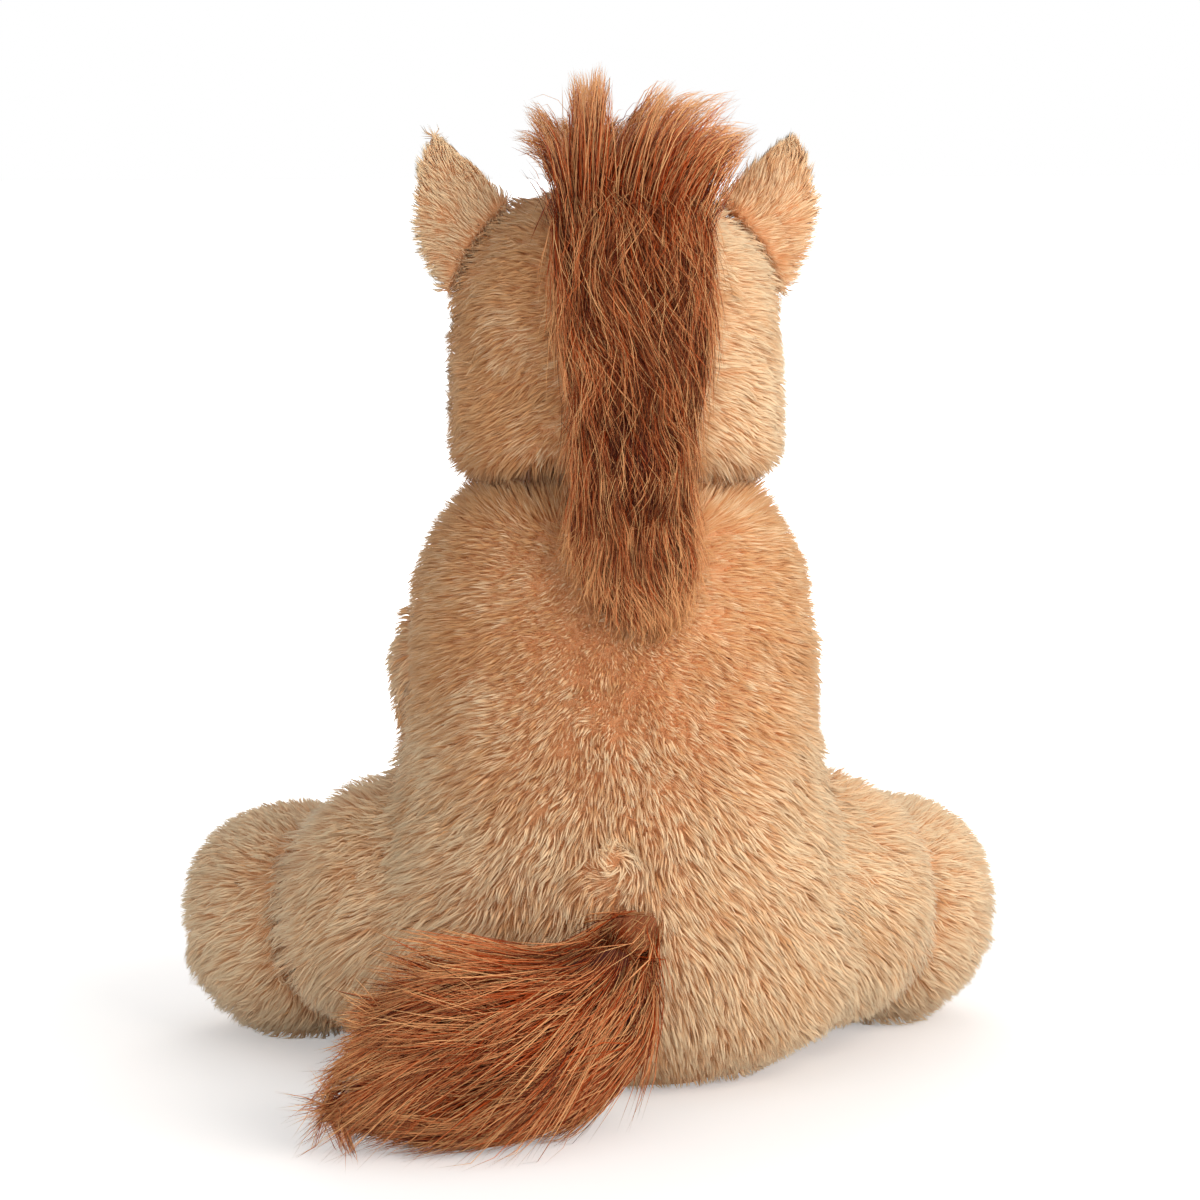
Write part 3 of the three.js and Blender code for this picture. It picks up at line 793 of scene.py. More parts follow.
def tone_and_neck_shade_of_body(spots):
    """Deep orange at the neck and shoulders, paler down to the seat, and palest in the whorl, with a little
    painted shade deepening the tone in the crease under the head.
    """
    x, y, z = spots.T
    off = np.hypot(x - WHORL_X, z - WHORL_Z)
    whorl = bell(off, 6) - 0.6 * bell(off - 11 * MM, 4)
    # Painted shade: the tone deepens in the crease where the head meets the body.
    at_neck = ease(158, 168, z)
    deep = ease(60, 140, z) * (0.8 - 0.12 * bell(x, 25))
    return 0.92 - deep + 0.5 * whorl * (y > 20 * MM) - 0.1 * at_neck


def short_of_body(spots):
    """Shorter at the shoulders, and under the seat where it would be crushed, but longer at the neck."""
    x, y, z = spots.T
    shorter = (1 - 0.28 * ease(85, 125, z)) * (0.35 + 0.65 * ease(0, 32, z))
    longer = 0.1 - 0.1 * np.tanh(x / (30 * MM)) + 0.4 * ease(8, 24, y)
    return shorter * (1 + longer * ease(158, 168, z))


def upright_at_neck(spots):
    """The head's lower edge, where the pile stands up to meet the body's."""
    return 0.8 * ease(189, 179, spots[:, 2])


def long_at_neck(spots):
    """Longer at the back of the head's lower edge, where the head's pile meets the body's."""
    longer = 0.4 * ease(-2, 12, spots[:, 1]) - 0.1
    return 1 + longer * ease(190, 178, spots[:, 2])


def tone_and_painted_shade_of_head(spots):
    """Painted shade: a little deeper at the toy's left, the side away from the key light, and at the lower
    edge, in the crease over the neck.
    """
    return 0.42 - 0.5 * np.tanh(spots[:, 0] / (25 * MM)) - 0.3 * ease(184, 176, spots[:, 2])


def short_of_foot(spots):
    """Shorter on top of a foot and longer near the floor."""
    z = spots[:, 2]
    return 1 - 0.18 * ease(44, 64, z) + 0.1 * ease(34, 20, z)


def thinned(spots, share):
    """Keeps all of the pile at the back, and a share of what nobody sees so near at the front."""
    return (spots[:, 1] > -6 * MM) | (random_for("thinned").random(len(spots)) < share)


def comb_head(spots, facings):
    """Outward and down at the back, and up and back from the muzzle at the front."""
    x, y, z = spots.T
    front = ease(-5, -40, y)
    outward = np.tanh((x + 2 * MM) / (24 * MM))
    down = -0.45 - 0.6 * ease(192, 176, z)
    back_way = np.column_stack([outward * 0.9, -0.1 * np.ones_like(x), down])
    front_way = np.column_stack([outward * 0.6, 0.5 * np.ones_like(x), 0.5 * np.ones_like(x)])
    return back_way * (1 - front[:, None]) + front_way * front[:, None]


def comb_along(way):
    way = np.array(way, float)
    return lambda spots, facings: np.broadcast_to(way, spots.shape)


def comb_ear(side):
    """Towards the tip, and outward near the base."""
    def comb(spots, facings):
        low = ease(258, 240, spots[:, 2])
        return np.column_stack([side * (0.34 + 0.5 * low), 0 * low, 0.94 - 0.9 * low])

    return comb


def pile_on(skin, name, body, comb, length, split=(("", None),), lean=(24, 56), keep=None, clear=(),
            density=1.0, finish=None, slot="plush", width=1.0, tone=0.5, upright=None, gather=1.0,
            short=None, softness=0.6):
    """Covers a skin in pile, as one piece for each part of the split. The tone and gather may be functions of
    the place, and so are how far it stands upright, from 0 to 1, and the share of its length."""
    pile = setting("pile")
    finish = finish or pile_finish()
    spots, facings = scattered(skin, pile.density * density * (1 + pile.fibres), name)
    # Nobody sees what lies on the floor, but for the forelegs, which can be lifted.
    stay = (facings[:, 2] > -0.75) | (spots[:, 2] > NEAR_FLOOR) | body.endswith("foreleg")
    if keep is not None:
        stay &= keep(spots, facings)
    spots, facings = spots[stay], facings[stay]
    for node in clear:
        probe = spots + facings * 0.55 * length
        may_enter = (8 if node in ("head", "torso") else 3) * MM
        outside = depth_in(cad_tree(node), probe) < may_enter
        spots, facings = spots[outside], facings[outside]
    rng = random_for(name + " locks")
    count = len(spots)

    def wavy(wavelength, what):
        return ripple(spots, wavelength * MM, name + what)

    drift = np.column_stack([wavy(30, way) for way in "xyz"])
    tufts = np.column_stack([wavy(9, "tuft" + way) for way in "xyz"])
    ways = unit(comb(spots, facings)) + 0.16 * drift + 0.13 * tufts + rng.normal(0, 0.1, (count, 3))
    shorter = short(spots) if short else 1
    lengths = shorter * length * (1 + 0.07 * wavy(16, "length") + rng.normal(0, 0.1, count))
    leaning = rng.normal(0, 0.09, count) + 0.1 * wavy(12, "lean")
    laid = 1 - upright(spots) if upright else 1
    leans = [np.clip(math.radians(angle) * laid + leaning, 0.02, 1.45) for angle in lean]
    gathers = pile.gather * (gather(spots) if callable(gather) else np.full(count, gather))
    lengths = np.clip(lengths, 0.4 * length, 1.4 * length)
    paths = locks(spots, facings, across(ways, facings), lengths, leans, gathers)
    paths[:, :, 2] = np.maximum(paths[:, :, 2], PILE_OVER_FLOOR)
    fine = rng.random(count) < pile.fibres / (1 + pile.fibres)
    widths = width * np.where(fine, pile.fibre_width, pile.width) * rng.uniform(0.75, 1.25, count)
    tones = tone(spots) if callable(tone) else tone
    tones = tones + 0.14 * wavy(26, "tone") + rng.normal(0, 0.24, count)
    tones += 0.2 * wavy(5, "clumps")
    for part, chosen in split:
        there = np.ones(count, bool) if chosen is None else chosen(spots)
        strands = [plant(mesh_name, forms[some], widths[some], tones[some], outline, finish,
                         facings=facings[some], softness=softness)
                   for mesh_name, some, forms, outline in (
                       (f"{name}{part}", there & ~fine, paths, LOCK_OUTLINE),
                       ("fibres", there & fine, paths[:, ::2], FIBRE_OUTLINE)) if some.any()]
        bundle(strands, body, slot)


def quarters(middle_x=0.0, middle_y=0.0, middle_z=None):
    """Splits a skin into its four quarters, and across at a height if one is given."""
    parts = []
    for hand, right in (("left", False), ("right", True)):
        for face, back in (("front", False), ("back", True)):
            def chosen(spots, right=right, back=back):
                return ((spots[:, 0] < middle_x) == right) & ((spots[:, 1] >= middle_y) == back)
            if middle_z is None:
                parts.append((f"_{hand}_{face}", chosen))
            else:
                parts.append((f"_{hand}_{face}_low", lambda s, c=chosen: c(s) & (s[:, 2] < middle_z)))
                parts.append((f"_{hand}_{face}_high", lambda s, c=chosen: c(s) & (s[:, 2] >= middle_z)))
    return parts


# Operators


class HORSE_OT_body_skin(Operator):
    """Sews and stuffs the torso and haunches"""

    bl_idname = "plush_horse.body_skin"
    bl_label = "Body skin"

    def execute(self, context):
        skin = setting("skin")

        def inset(spot):
            return skin.inset + (skin.back_inset - skin.inset) * ease(85, 125, spot.z)

        stuffed("body_skin", ["torso", "left_haunch", "right_haunch"], inset, skin.voxel,
                backing_finish(), swell=skin.swell,
                meets=["head", "left_foreleg", "right_foreleg", "left_hind_foot", "right_hind_foot"])
        return {"FINISHED"}


class HORSE_OT_head_skin(Operator):
    """Sews and stuffs the head with its muzzle"""

    bl_idname = "plush_horse.head_skin"
    bl_label = "Head skin"

    def execute(self, context):
        skin = setting("skin")
        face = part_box("head")[0][1]

        def inset(spot):
            on_muzzle = smooth_step(face + 4 * MM, face - 8 * MM, spot.y)
            return skin.head_inset + (skin.muzzle_inset - skin.head_inset) * on_muzzle

        piece = stuffed("head_skin", ["head", "muzzle"], inset, 0.8 * skin.voxel, backing_finish(),
                        smoothings=8, swell=skin.swell, meets=["torso", "left_ear", "right_ear"])
        piece.data.materials.append(pale_backing_finish())
        for polygon in piece.data.polygons:
            polygon.material_index = int(polygon.center.y < face)
        return {"FINISHED"}


class HORSE_OT_limb_skins(Operator):
    """Sews and stuffs the forelegs and hind feet"""

    bl_idname = "plush_horse.limb_skins"
    bl_label = "Limb skins"

    def execute(self, context):
        skin = setting("skin")
        for _, hand in SIDES:
            for limb in ("foreleg", "hind_foot"):
                node = f"{hand}_{limb}"
                stuffed(f"{node}_skin", [node], skin.inset - SHALLOWER_ON_LIMBS, 0.8 * skin.voxel,
                        backing_finish(), swell=skin.swell, meets=["torso", f"{hand}_haunch"])
        return {"FINISHED"}


class HORSE_OT_ears(Operator):
    """Sews the ears and their linings"""

    bl_idname = "plush_horse.ears"
    bl_label = "Ears"

    def execute(self, context):
        skin = setting("skin")
        for _, hand in SIDES:
            stuffed(f"{hand}_ear_skin", [f"{hand}_ear"], skin.ear_inset, 2 * MM, backing_finish(),
                    smoothings=4, meets=["head"])
            stuffed(f"{hand}_ear_lining_skin", [f"{hand}_ear_lining"], 0, 1 * MM, pale_backing_finish(),
                    smoothings=2)
        return {"FINISHED"}


class HORSE_OT_soles(Operator):
    """Makes the suede pads under the feet"""

    bl_idname = "plush_horse.soles"
    bl_label = "Soles"

    def execute(self, context):
        suede = finish_of("suede", suede_material, setting("trim").suede)
        for _, hand in SIDES:
            for end, limb in (("hind", "hind_foot"), ("fore", "foreleg")):
                node = f"{hand}_{end}_sole"
                pad = stuffed(f"{node}_pad", [node], 0, 1.7 * MM, suede, smoothings=3)
                skin = tree_of(made(f"{hand}_{limb}_skin"))
                # The pad's back goes in through the pile, as far as the skin.
                for vert in pad.data.vertices:
                    way = skin.find_nearest(vert.co)[0] - vert.co
                    if way.dot(vert.normal) > 0.3 * way.length:
                        vert.co += way
        return {"FINISHED"}


class HORSE_OT_hair_bases(Operator):
    """Makes the dense roots under the hair of the forelock, mane and tail"""

    bl_idname = "plush_horse.hair_bases"
    bl_label = "Hair bases"

    def execute(self, context):
        dark = finish_of("hair_backing", backing_material, tinted(setting("hair").dark, 0.8))
        for node, inset, meets in (
                ("forelock", 7 * MM, ["head", "head_mane"]),
                ("head_mane", 3 * MM, ["head", "forelock", "back_mane"]),
                ("back_mane", 3.5 * MM, ["torso", "head_mane"]),
                ("tail", 8 * MM, [])):
            base = stuffed(f"{node}_base", [node], inset, 3.2 * MM, dark, smoothings=5, meets=meets)
            if node == "back_mane":
                shorten(base, (0, 0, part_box(node)[1][2]), (1, 1, 0.8))
        neck = hull_of("neck_mane_base", ["head_mane", "back_mane"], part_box("back_mane")[1][2] - 14 * MM,
                       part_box("head_mane")[0][2] + 16 * MM, dark)
        across_neck(neck)
        return {"FINISHED"}


def shorten(piece, held, shares):
    """Draws a piece together along each axis towards a point that is held."""
    there = Matrix.Translation(held)
    piece.data.transform(there @ Matrix.Diagonal((*shares, 1)) @ there.inverted())


def across_neck(piece):
    """Bakes a piece of the mane's place into its mesh; the piece rides on neither the head nor the body."""
    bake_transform(piece)


class HORSE_OT_body_pile(Operator):
    """Plants the pile of the torso and haunches"""

    bl_idname = "plush_horse.body_pile"
    bl_label = "Body pile"

    def execute(self, context):
        pile_on(made("body_skin"), "body_pile", "body", comb_body, setting("pile").length,
                split=quarters(middle_z=82 * MM), clear=["head", "back_mane"], upright=upright_back,
                tone=tone_and_neck_shade_of_body, short=short_of_body,
                gather=lambda spots: 1 - 0.5 * ease(80, 130, spots[:, 2]),
                keep=lambda spots, facings: thinned(spots, 0.4))
        return {"FINISHED"}


def under_pad(node, length, elsewhere=None):
    """Shorter near a pad, so that the pile fills the room behind it and doesn't come through."""
    pad = cad_tree(node)

    def short(spots):
        room = np.linalg.norm(nearest(pad, spots)[0] - spots, axis=1) / length
        return np.clip(room, 0.4, 1) * (elsewhere(spots) if elsewhere else 1)
    return short


class HORSE_OT_limb_pile(Operator):
    """Plants the pile of the forelegs and hind feet"""

    bl_idname = "plush_horse.limb_pile"
    bl_label = "Limb pile"

    def execute(self, context):
        leg_length = 0.86 * setting("pile").length
        foot_length = 0.84 * setting("pile").length
        for side, hand in SIDES:
            pile_on(made(f"{hand}_foreleg_skin"), f"{hand}_foreleg_pile", f"{hand}_foreleg",
                    comb_along((0.3 * side, -0.35, -0.9)), leg_length, clear=["torso"],
                    density=0.35, width=1.65, short=under_pad(f"{hand}_fore_sole", leg_length))
            pile_on(made(f"{hand}_hind_foot_skin"), f"{hand}_hind_foot_pile", f"{hand}_hind_foot",
                    comb_along((0.6 * side, -0.35, -0.5)), foot_length, clear=[f"{hand}_haunch"],
                    density=0.75, width=1.1, tone=1.1,
                    short=under_pad(f"{hand}_hind_sole", foot_length, short_of_foot))
        return {"FINISHED"}


class HORSE_OT_head_pile(Operator):
    """Plants the pile of the head and the short pale pile of the muzzle"""

    bl_idname = "plush_horse.head_pile"
    bl_label = "Head pile"

    def execute(self, context):
        pile = setting("pile")
        skin = made("head_skin")
        lo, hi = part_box("muzzle")
        middle = np.array([(lo[0] + hi[0]) / 2, 0, (lo[2] + hi[2]) / 2])
        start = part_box("head")[0][1] - 1 * MM

        def on_muzzle(spots, facings):
            off = np.hypot(spots[:, 0] - middle[0], spots[:, 2] - middle[2])
            rim = (spots[:, 1] < start + 8 * MM) & (off < 22 * MM) & (facings[:, 1] > -0.4)
            return (spots[:, 1] < start) | rim

        clear = ["torso", "head_mane", "forelock", "left_ear", "right_ear"]
        pile_on(skin, "head_pile", "head", comb_head, pile.head_length, split=quarters(-1.5 * MM, -16 * MM),
                keep=lambda s, f: ~on_muzzle(s, f) & thinned(s, 0.52), clear=clear, tone=tone_and_painted_shade_of_head,
                gather=0.7, short=long_at_neck, upright=upright_at_neck)
        trims = cad_tree("left_nostril", "right_nostril", "mouth_stitch")

        def bare_at_trims(spots, facings):
            apart = np.linalg.norm(nearest(trims, spots)[0] - spots, axis=1)
            return on_muzzle(spots, facings) & (apart > 2.6 * MM)

        pile_on(skin, "muzzle_pile", "head", comb_along((0, 0.9, 0.25)), pile.muzzle_length,
                keep=bare_at_trims, finish=pale_finish(), slot="pale_plush", width=1.15, density=0.7,
                gather=0.5, softness=0.5)
        return {"FINISHED"}


class HORSE_OT_ear_pile(Operator):
    """Plants the pile of the ears and of their linings"""

    bl_idname = "plush_horse.ear_pile"
    bl_label = "Ear pile"

    def execute(self, context):
        pile = setting("pile")
        for side, hand in SIDES:
            tipward = comb_along((0.34 * side, 0, 0.94))
            # Painted light and shade: the left ear's pile is paler and the right one's deeper, evening out
            # the key light from the right.
            pile_on(made(f"{hand}_ear_skin"), f"{hand}_ear_pile", f"{hand}_ear", comb_ear(side),
                    pile.ear_length, clear=["head", f"{hand}_ear_lining"], density=2.1, width=0.72,
                    tone=1.0 + 0.35 * side, gather=0.5, lean=(32, 64), softness=0.35)
            pile_on(made(f"{hand}_ear_lining_skin"), f"{hand}_ear_lining_pile", f"{hand}_ear", tipward,
                    pile.lining_length, clear=["head", f"{hand}_ear"], density=1.25, width=0.8,
                    finish=pale_finish(), slot="pale_plush", softness=0.2)
        return {"FINISHED"}


def two_tones(rng, count, dark, light):
    """Tones for dark hair with lighter hairs all through it."""
    return np.where(rng.random(count) < 0.4, light, dark) + rng.normal(0, 0.14, count)


def laid_hair(roots, lengths, heights, flow, guide, held=1.0):
    """Walks each hair over the guide's surface along the flow, between two heights over it. Past the share
    that is held to the surface it goes on freely."""
    paths = np.empty((len(roots), HAIR_STEPS + 1, 3))
    here = roots
    way = np.zeros_like(roots)
    for step in range(HAIR_STEPS + 1):
        share = step / HAIR_STEPS
        on, facing = nearest(guide, here)
        stuck = np.broadcast_to(share <= held, len(roots))[:, None]
        here = np.where(stuck, on + facing * (heights[0] + (heights[1] - heights[0]) * share)[:, None], here)
        free = unit(0.75 * way + 0.25 * unit(flow(here)))
        way = np.where(stuck, across(flow(here), facing), free)
        paths[:, step] = here
        here = here + way * (lengths / HAIR_STEPS)[:, None]
    return paths


class HORSE_OT_mane(Operator):
    """Lays the hair of the mane from the crown down the back"""

    bl_idname = "plush_horse.mane"
    bl_label = "Mane"

    def execute(self, context):
        hair = setting("hair")
        under = ("torso", "head", "head_mane", "back_mane", "forelock")
        guide = tree_of(made("neck_mane_base"), *(frame["nodes"][node] for node in under))
        inner = cad_tree("torso", "head")
        low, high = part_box("back_mane")[0][2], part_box("head_mane")[1][2]

        def on_way_down(here, *stops):
            return np.interp((here[:, 2] - low) / (high - low), (0, 0.35, 1), stops)

        for part, share, reach in (
                ("head_mane", 0.6, 1.0), ("neck_mane", 0.2, 1.0), ("back_mane", 0.24, 0.85)):
            name = f"{part}_hair"
            rng = random_for(name)
            count = int(hair.mane_hairs * share)
            base = made(f"{part}_base")
            area = sum(face.area for face in base.data.polygons)
            # More spots than hairs, since some of them are left out.
            spots, facings = scattered(base, 4 * count / area * CM2, name)
            out = (depth_in(inner, spots) < -1 * MM) & (facings[:, 1] > -0.2)
            spots, facings = spots[out][:count], facings[out][:count]
            count = len(spots)
            flyaway = rng.random(count) < 0.12
            sway = rng.normal(0, 0.24, count) * (1 + flyaway) + 0.22 * ripple(spots, 20 * MM, "mane sway")
            off = spots[:, 0] - on_way_down(spots, -6, -2, 0) * MM
            at_edge = ease(5, 13, abs(off))
            below = ease(252, 236, spots[:, 2])
            sway += np.sign(off) * below * (0.3 * flyaway + at_edge * abs(rng.normal(0, 0.5, count)))
            sway += 0.6 * ease(236, 248, spots[:, 2]) * ease(-10, -18, spots[:, 0])

            def flow(here, sway=sway):
                off = here[:, 0] - on_way_down(here, -6, -2, 0) * MM
                draw = np.where(off > 0, on_way_down(here, -0.3, -0.05, 0.2), on_way_down(here, 0.35, 0, 0.1))
                drift = on_way_down(here, -0.12, -0.1, -0.3) + 0.2 * ripple(here, 20 * MM, "mane waves")
                aside = draw * np.tanh(off / (12 * MM)) + sway + drift
                return np.column_stack([aside, np.full(len(here), 0.6), -np.ones(len(here))])

            lengths = hair.mane_length * reach * rng.uniform(0.6, 1.25, count)
            over_low = np.interp(spots[:, 0], (-18 * MM, -10 * MM, -1 * MM, 7 * MM, 14 * MM),
                                 (9 * MM, 4 * MM, 5 * MM, 12 * MM, 26 * MM))
            tips = low + over_low + rng.normal(0, 4, count) * MM
            lengths = np.minimum(lengths, np.maximum(spots[:, 2] - tips, 7 * MM))
            rise = (rng.uniform(-3.5, -0.5, count) * MM,
                    np.where(flyaway, rng.uniform(3, 7, count), rng.normal(1.0, 1.3, count)) * MM)
            paths = laid_hair(spots, lengths, rise, flow, guide)
            tones = two_tones(rng, count, 0.02, 0.48) + 0.14 * ripple(spots, 10 * MM, name + "tone")
            right_end = smooth_step(low + 40 * MM, low + 20 * MM, spots[:, 2]) * ease(4, -6, spots[:, 0])
            tones += 0.3 * flyaway + 0.5 * right_end + at_edge * np.where(spots[:, 0] > 0, 0.3, 0.12)
            tones += 0.08 + 0.25 * ease(180, 160, spots[:, 2])
            tones += 0.12 * ease(2, -8, off)
            widths = hair.width * rng.uniform(0.6, 1.2, count) * np.where(flyaway, 0.55, 1)
            strands = plant(name, paths, widths, tones, HAIR_OUTLINE, hair_finish())
            if part == "back_mane":
                bundle([strands], "body", "hair")
            else:
                across_neck(bundle([strands], None, "hair"))
        return {"FINISHED"}


class HORSE_OT_forelock(Operator):
    """Grows the forelock, which stands up from the crown and sways to the right"""

    bl_idname = "plush_horse.forelock"
    bl_label = "Forelock"

    # How far to the left and how high each wisp ends, in millimetres
    wisps = ((27, 272), (23, 281), (15, 276), (9, 290), (3, 292), (-4, 276), (-12, 279), (-18, 287),
             (-27, 284), (-37, 284), (-41, 274), (-33, 266))

    def execute(self, context):
        hair = setting("hair")
        name = "forelock_hair"
        rng = random_for(name)
        base = made("forelock_base")
        lo, hi = (np.array(corner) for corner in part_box("forelock"))
        shorten(base, (hi[0] - 8 * MM, 0, lo[2]), (0.8, 1, 0.55))
        area = sum(face.area for face in base.data.polygons)
        spots, facings = scattered(base, 1.3 * hair.forelock_hairs / area * CM2, name)
        out = depth_in(cad_tree("head"), spots) < 0
        spots, facings = spots[out][:hair.forelock_hairs], facings[out][:hair.forelock_hairs]
        nape_spots, nape_facings = scattered(made("head_mane_base"), per_cm2=240, name="nape")
        nape = (nape_facings[:, 1] > 0) & (nape_spots[:, 2] < lo[2] + 6 * MM)
        nape &= nape_spots[:, 2] > lo[2] - abs(rng.normal(0, 11, len(nape_spots))) * MM
        spots = np.concatenate([spots, nape_spots[nape]])
        facings = np.concatenate([facings, nape_facings[nape]])
        count = len(spots)
        from_nape = np.arange(count) >= count - nape.sum()
        wisps = np.array(self.wisps) * MM
        middle = (lo + hi) / 2
        reach = 2.1 * (spots[:, 0] - 1 * MM) - 3 * MM + rng.normal(-9 * from_nape, 4, count) * MM
        wisp = wisps[np.abs(reach[:, None] - wisps[:, 0]).argmin(axis=1)]
        loose = rng.normal(0, 1, (count, 3)) * np.where(rng.random(count) < 0.15, 2, 1)[:, None]
        stray = 2.4 * MM * loose
        back = np.minimum(1.5 * spots[:, 1] - 0.5 * middle[1], hi[1] + 1 * MM)
        ends = np.column_stack([wisp[:, 0], back, wisp[:, 1]]) + stray
        shortfall = 0.11 * np.linalg.norm(loose[:, ::2], axis=1) + rng.exponential(0.33, count)
        ways = (ends - spots) * np.clip(1.08 - shortfall, 0.3, 1.08)[:, None]
        bow = np.linalg.norm(ways, axis=1) * rng.normal(0.1, 0.08, count)
        shares = np.linspace(0, 1, HAIR_STEPS + 1)[None, :, None]
        paths = spots[:, None] + ways[:, None] * shares ** (1.15, 1.2, 0.95)
        paths[..., 2] += 4 * (shares * (1 - shares))[..., 0] * bow[:, None]
        paths[..., 1] += 4 * (shares * (1 - shares))[..., 0] * (0.4 * bow * (spots[:, 1] > hi[1]))[:, None]
        paths[:, 0] -= facings * 1.5 * MM
        tones = two_tones(rng, count, 0.5, 0.95) + 0.14 * ripple(spots, 8 * MM, name + "tone")
        tones -= 0.2 * from_nape
        # Painted light: the hairs that reach furthest, at the fringe, are paler, as light shines through
        # them.
        tones += 0.5 * smooth_step(0.4, 0.1, shortfall)
        widths = hair.width * rng.uniform(0.45, 1.0, count)
        strands = [plant(name, paths, widths, tones, HAIR_OUTLINE, hair_finish()), self.crown_hair(base, rng)]
        bundle(strands, "head", "hair")
        return {"FINISHED"}

    def crown_hair(self, base, rng):
        """Hair that falls from the back of the forelock over the top of the mane."""
        hair = setting("hair")
        lo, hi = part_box("forelock")
        spots, facings = scattered(base, per_cm2=700, name="crown")
        inner = (spots[:, 0] > lo[0] + 20 * MM) & (spots[:, 0] < hi[0] - 7 * MM)
        spots = spots[inner & (facings[:, 1] > 0.1)][:int(0.65 * hair.forelock_hairs)]
        count = len(spots)
        sway = rng.normal(0, 0.25, count) + 0.3 * ripple(spots, 12 * MM, "crown sway")
        guide = cad_tree("forelock", "head_mane", "head")

        def flow(here):
            aside = np.clip(sway - 0.5, -0.8, 0.3) * ease(-24, -14, here[:, 0])
            return np.column_stack([aside, np.full(count, 0.8), np.full(count, -0.8)])

        rise = (rng.uniform(-3, 0, count) * MM, rng.normal(3, 1.5, count) * MM)
        paths = laid_hair(spots, 32 * MM * rng.uniform(0.6, 1.3, count), rise, flow, guide, held=0.6)
        tones = two_tones(rng, count, 0.3, 0.7) + 0.14 * ripple(spots, 7 * MM, "crown tone")
        return plant("crown_hair", paths, hair.width * rng.uniform(0.5, 1.1, count), tones, HAIR_OUTLINE,
                     hair_finish())


class HORSE_OT_tail(Operator):
    """Sweeps the tail's hair from its root to the left and down to the floor"""

    bl_idname = "plush_horse.tail"
    bl_label = "Tail"

    def execute(self, context):
        hair = setting("hair")
        name = "tail_hair"
        rng = random_for(name)
        lo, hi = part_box("tail")
        spots = scattered(made("tail_base"), 4 * hair.tail_hairs / TAIL_BASE_CM2, name)[0][:hair.tail_hairs]
        tab_spots = scattered(made("tail_tab_cloth"), per_cm2=170, name="tail tab")[0]
        tab_spots = tab_spots[depth_in(cad_tree("torso"), tab_spots) < 1 * MM]
        on_tab = np.arange(len(spots) + len(tab_spots)) >= len(spots)
        spots = np.concatenate([spots, tab_spots])
        count = len(spots)
        guide = cad_tree("tail", "tail_root")
        sway = 0.25 * ripple(spots, 18 * MM, name) + rng.normal(0, 0.14, count)
        root = np.array([0, lo[1], hi[2]])

        def flow(here):
            away = here - root
            fan = 1 - 0.75 * ease(12, 60, np.linalg.norm(away, axis=1))[:, None]
            high = ease(18, 42, here[:, 2])
            waves = sway + 0.2 * ripple(here, 16 * MM, "tail waves")
            swept = np.column_stack([np.full(count, 0.9), np.zeros(count), -0.42 + 0.28 * high + waves])
            away = np.where(on_tab[:, None], (0.7, 0.1, -0.7), np.maximum(unit(away), (0.1, -1, -1)))
            return away * fan + swept * (1 - fan) + np.column_stack([0 * sway, 0 * sway, 0.3 * waves])

        lengths = 46 * MM * rng.uniform(0.55, 1.25, count) * np.where(on_tab, 0.75, 1)
        flyaway = (rng.random(count) < 0.06) & (spots[:, 0] > 6 * MM)
        rise = (np.where(on_tab, rng.uniform(-0.5, 1.5, count), rng.uniform(-6, -1.5, count)) * MM,
                np.where(flyaway, rng.uniform(3, 7, count), rng.normal(0.4, 1.6, count)) * MM)
        held = np.where((spots[:, 2] > 28 * MM) & ~on_tab & (spots[:, 0] > 12 * MM), 0.2, 0.5)
        for _ in range(2):
            paths = laid_hair(spots, lengths, rise, flow, guide, held)
            end = hi[0] - 16 * MM * paths[:, -1, 2] / hi[2] + 4 * MM * ripple(spots, 9 * MM, "tail tips")
            beyond = np.maximum(paths[:, -1, 0] - end - rng.normal(0, 3, count) * MM, 0)
            lengths = np.maximum(lengths - beyond, 9 * MM)
        paths = laid_hair(spots, lengths, rise, flow, guide, held)
        tones = two_tones(rng, count, 0.55, 0.95) + 0.16 * ripple(spots, 9 * MM, name + "tone")
        tones += 0.35 * ease(52, 80, spots[:, 0]) * ease(14, 30, spots[:, 2])
        widths = hair.width * rng.uniform(0.6, 1.2, count)
        bundle([plant(name, paths, widths, tones, HAIR_OUTLINE, hair_finish())], "tail", "hair")
        return {"FINISHED"}


def lathe_axis(node):
    """The middle, axis and reach of a CAD node that was turned on a lathe, with the axis facing forward."""
    bm = copies_of([node])
    spots = np.array([vert.co[:] for vert in bm.verts])
    bm.free()
    middle = spots.mean(axis=0)
    spread, ways = np.linalg.eigh(np.cov((spots - middle).T))
    odd = 0 if spread[1] - spread[0] > spread[2] - spread[1] else 2
    axis = ways[:, odd] * -np.sign(ways[1, odd])
    reach = (spots - middle) @ axis
    return Vector(middle), Vector(axis), reach.min(), reach.max()


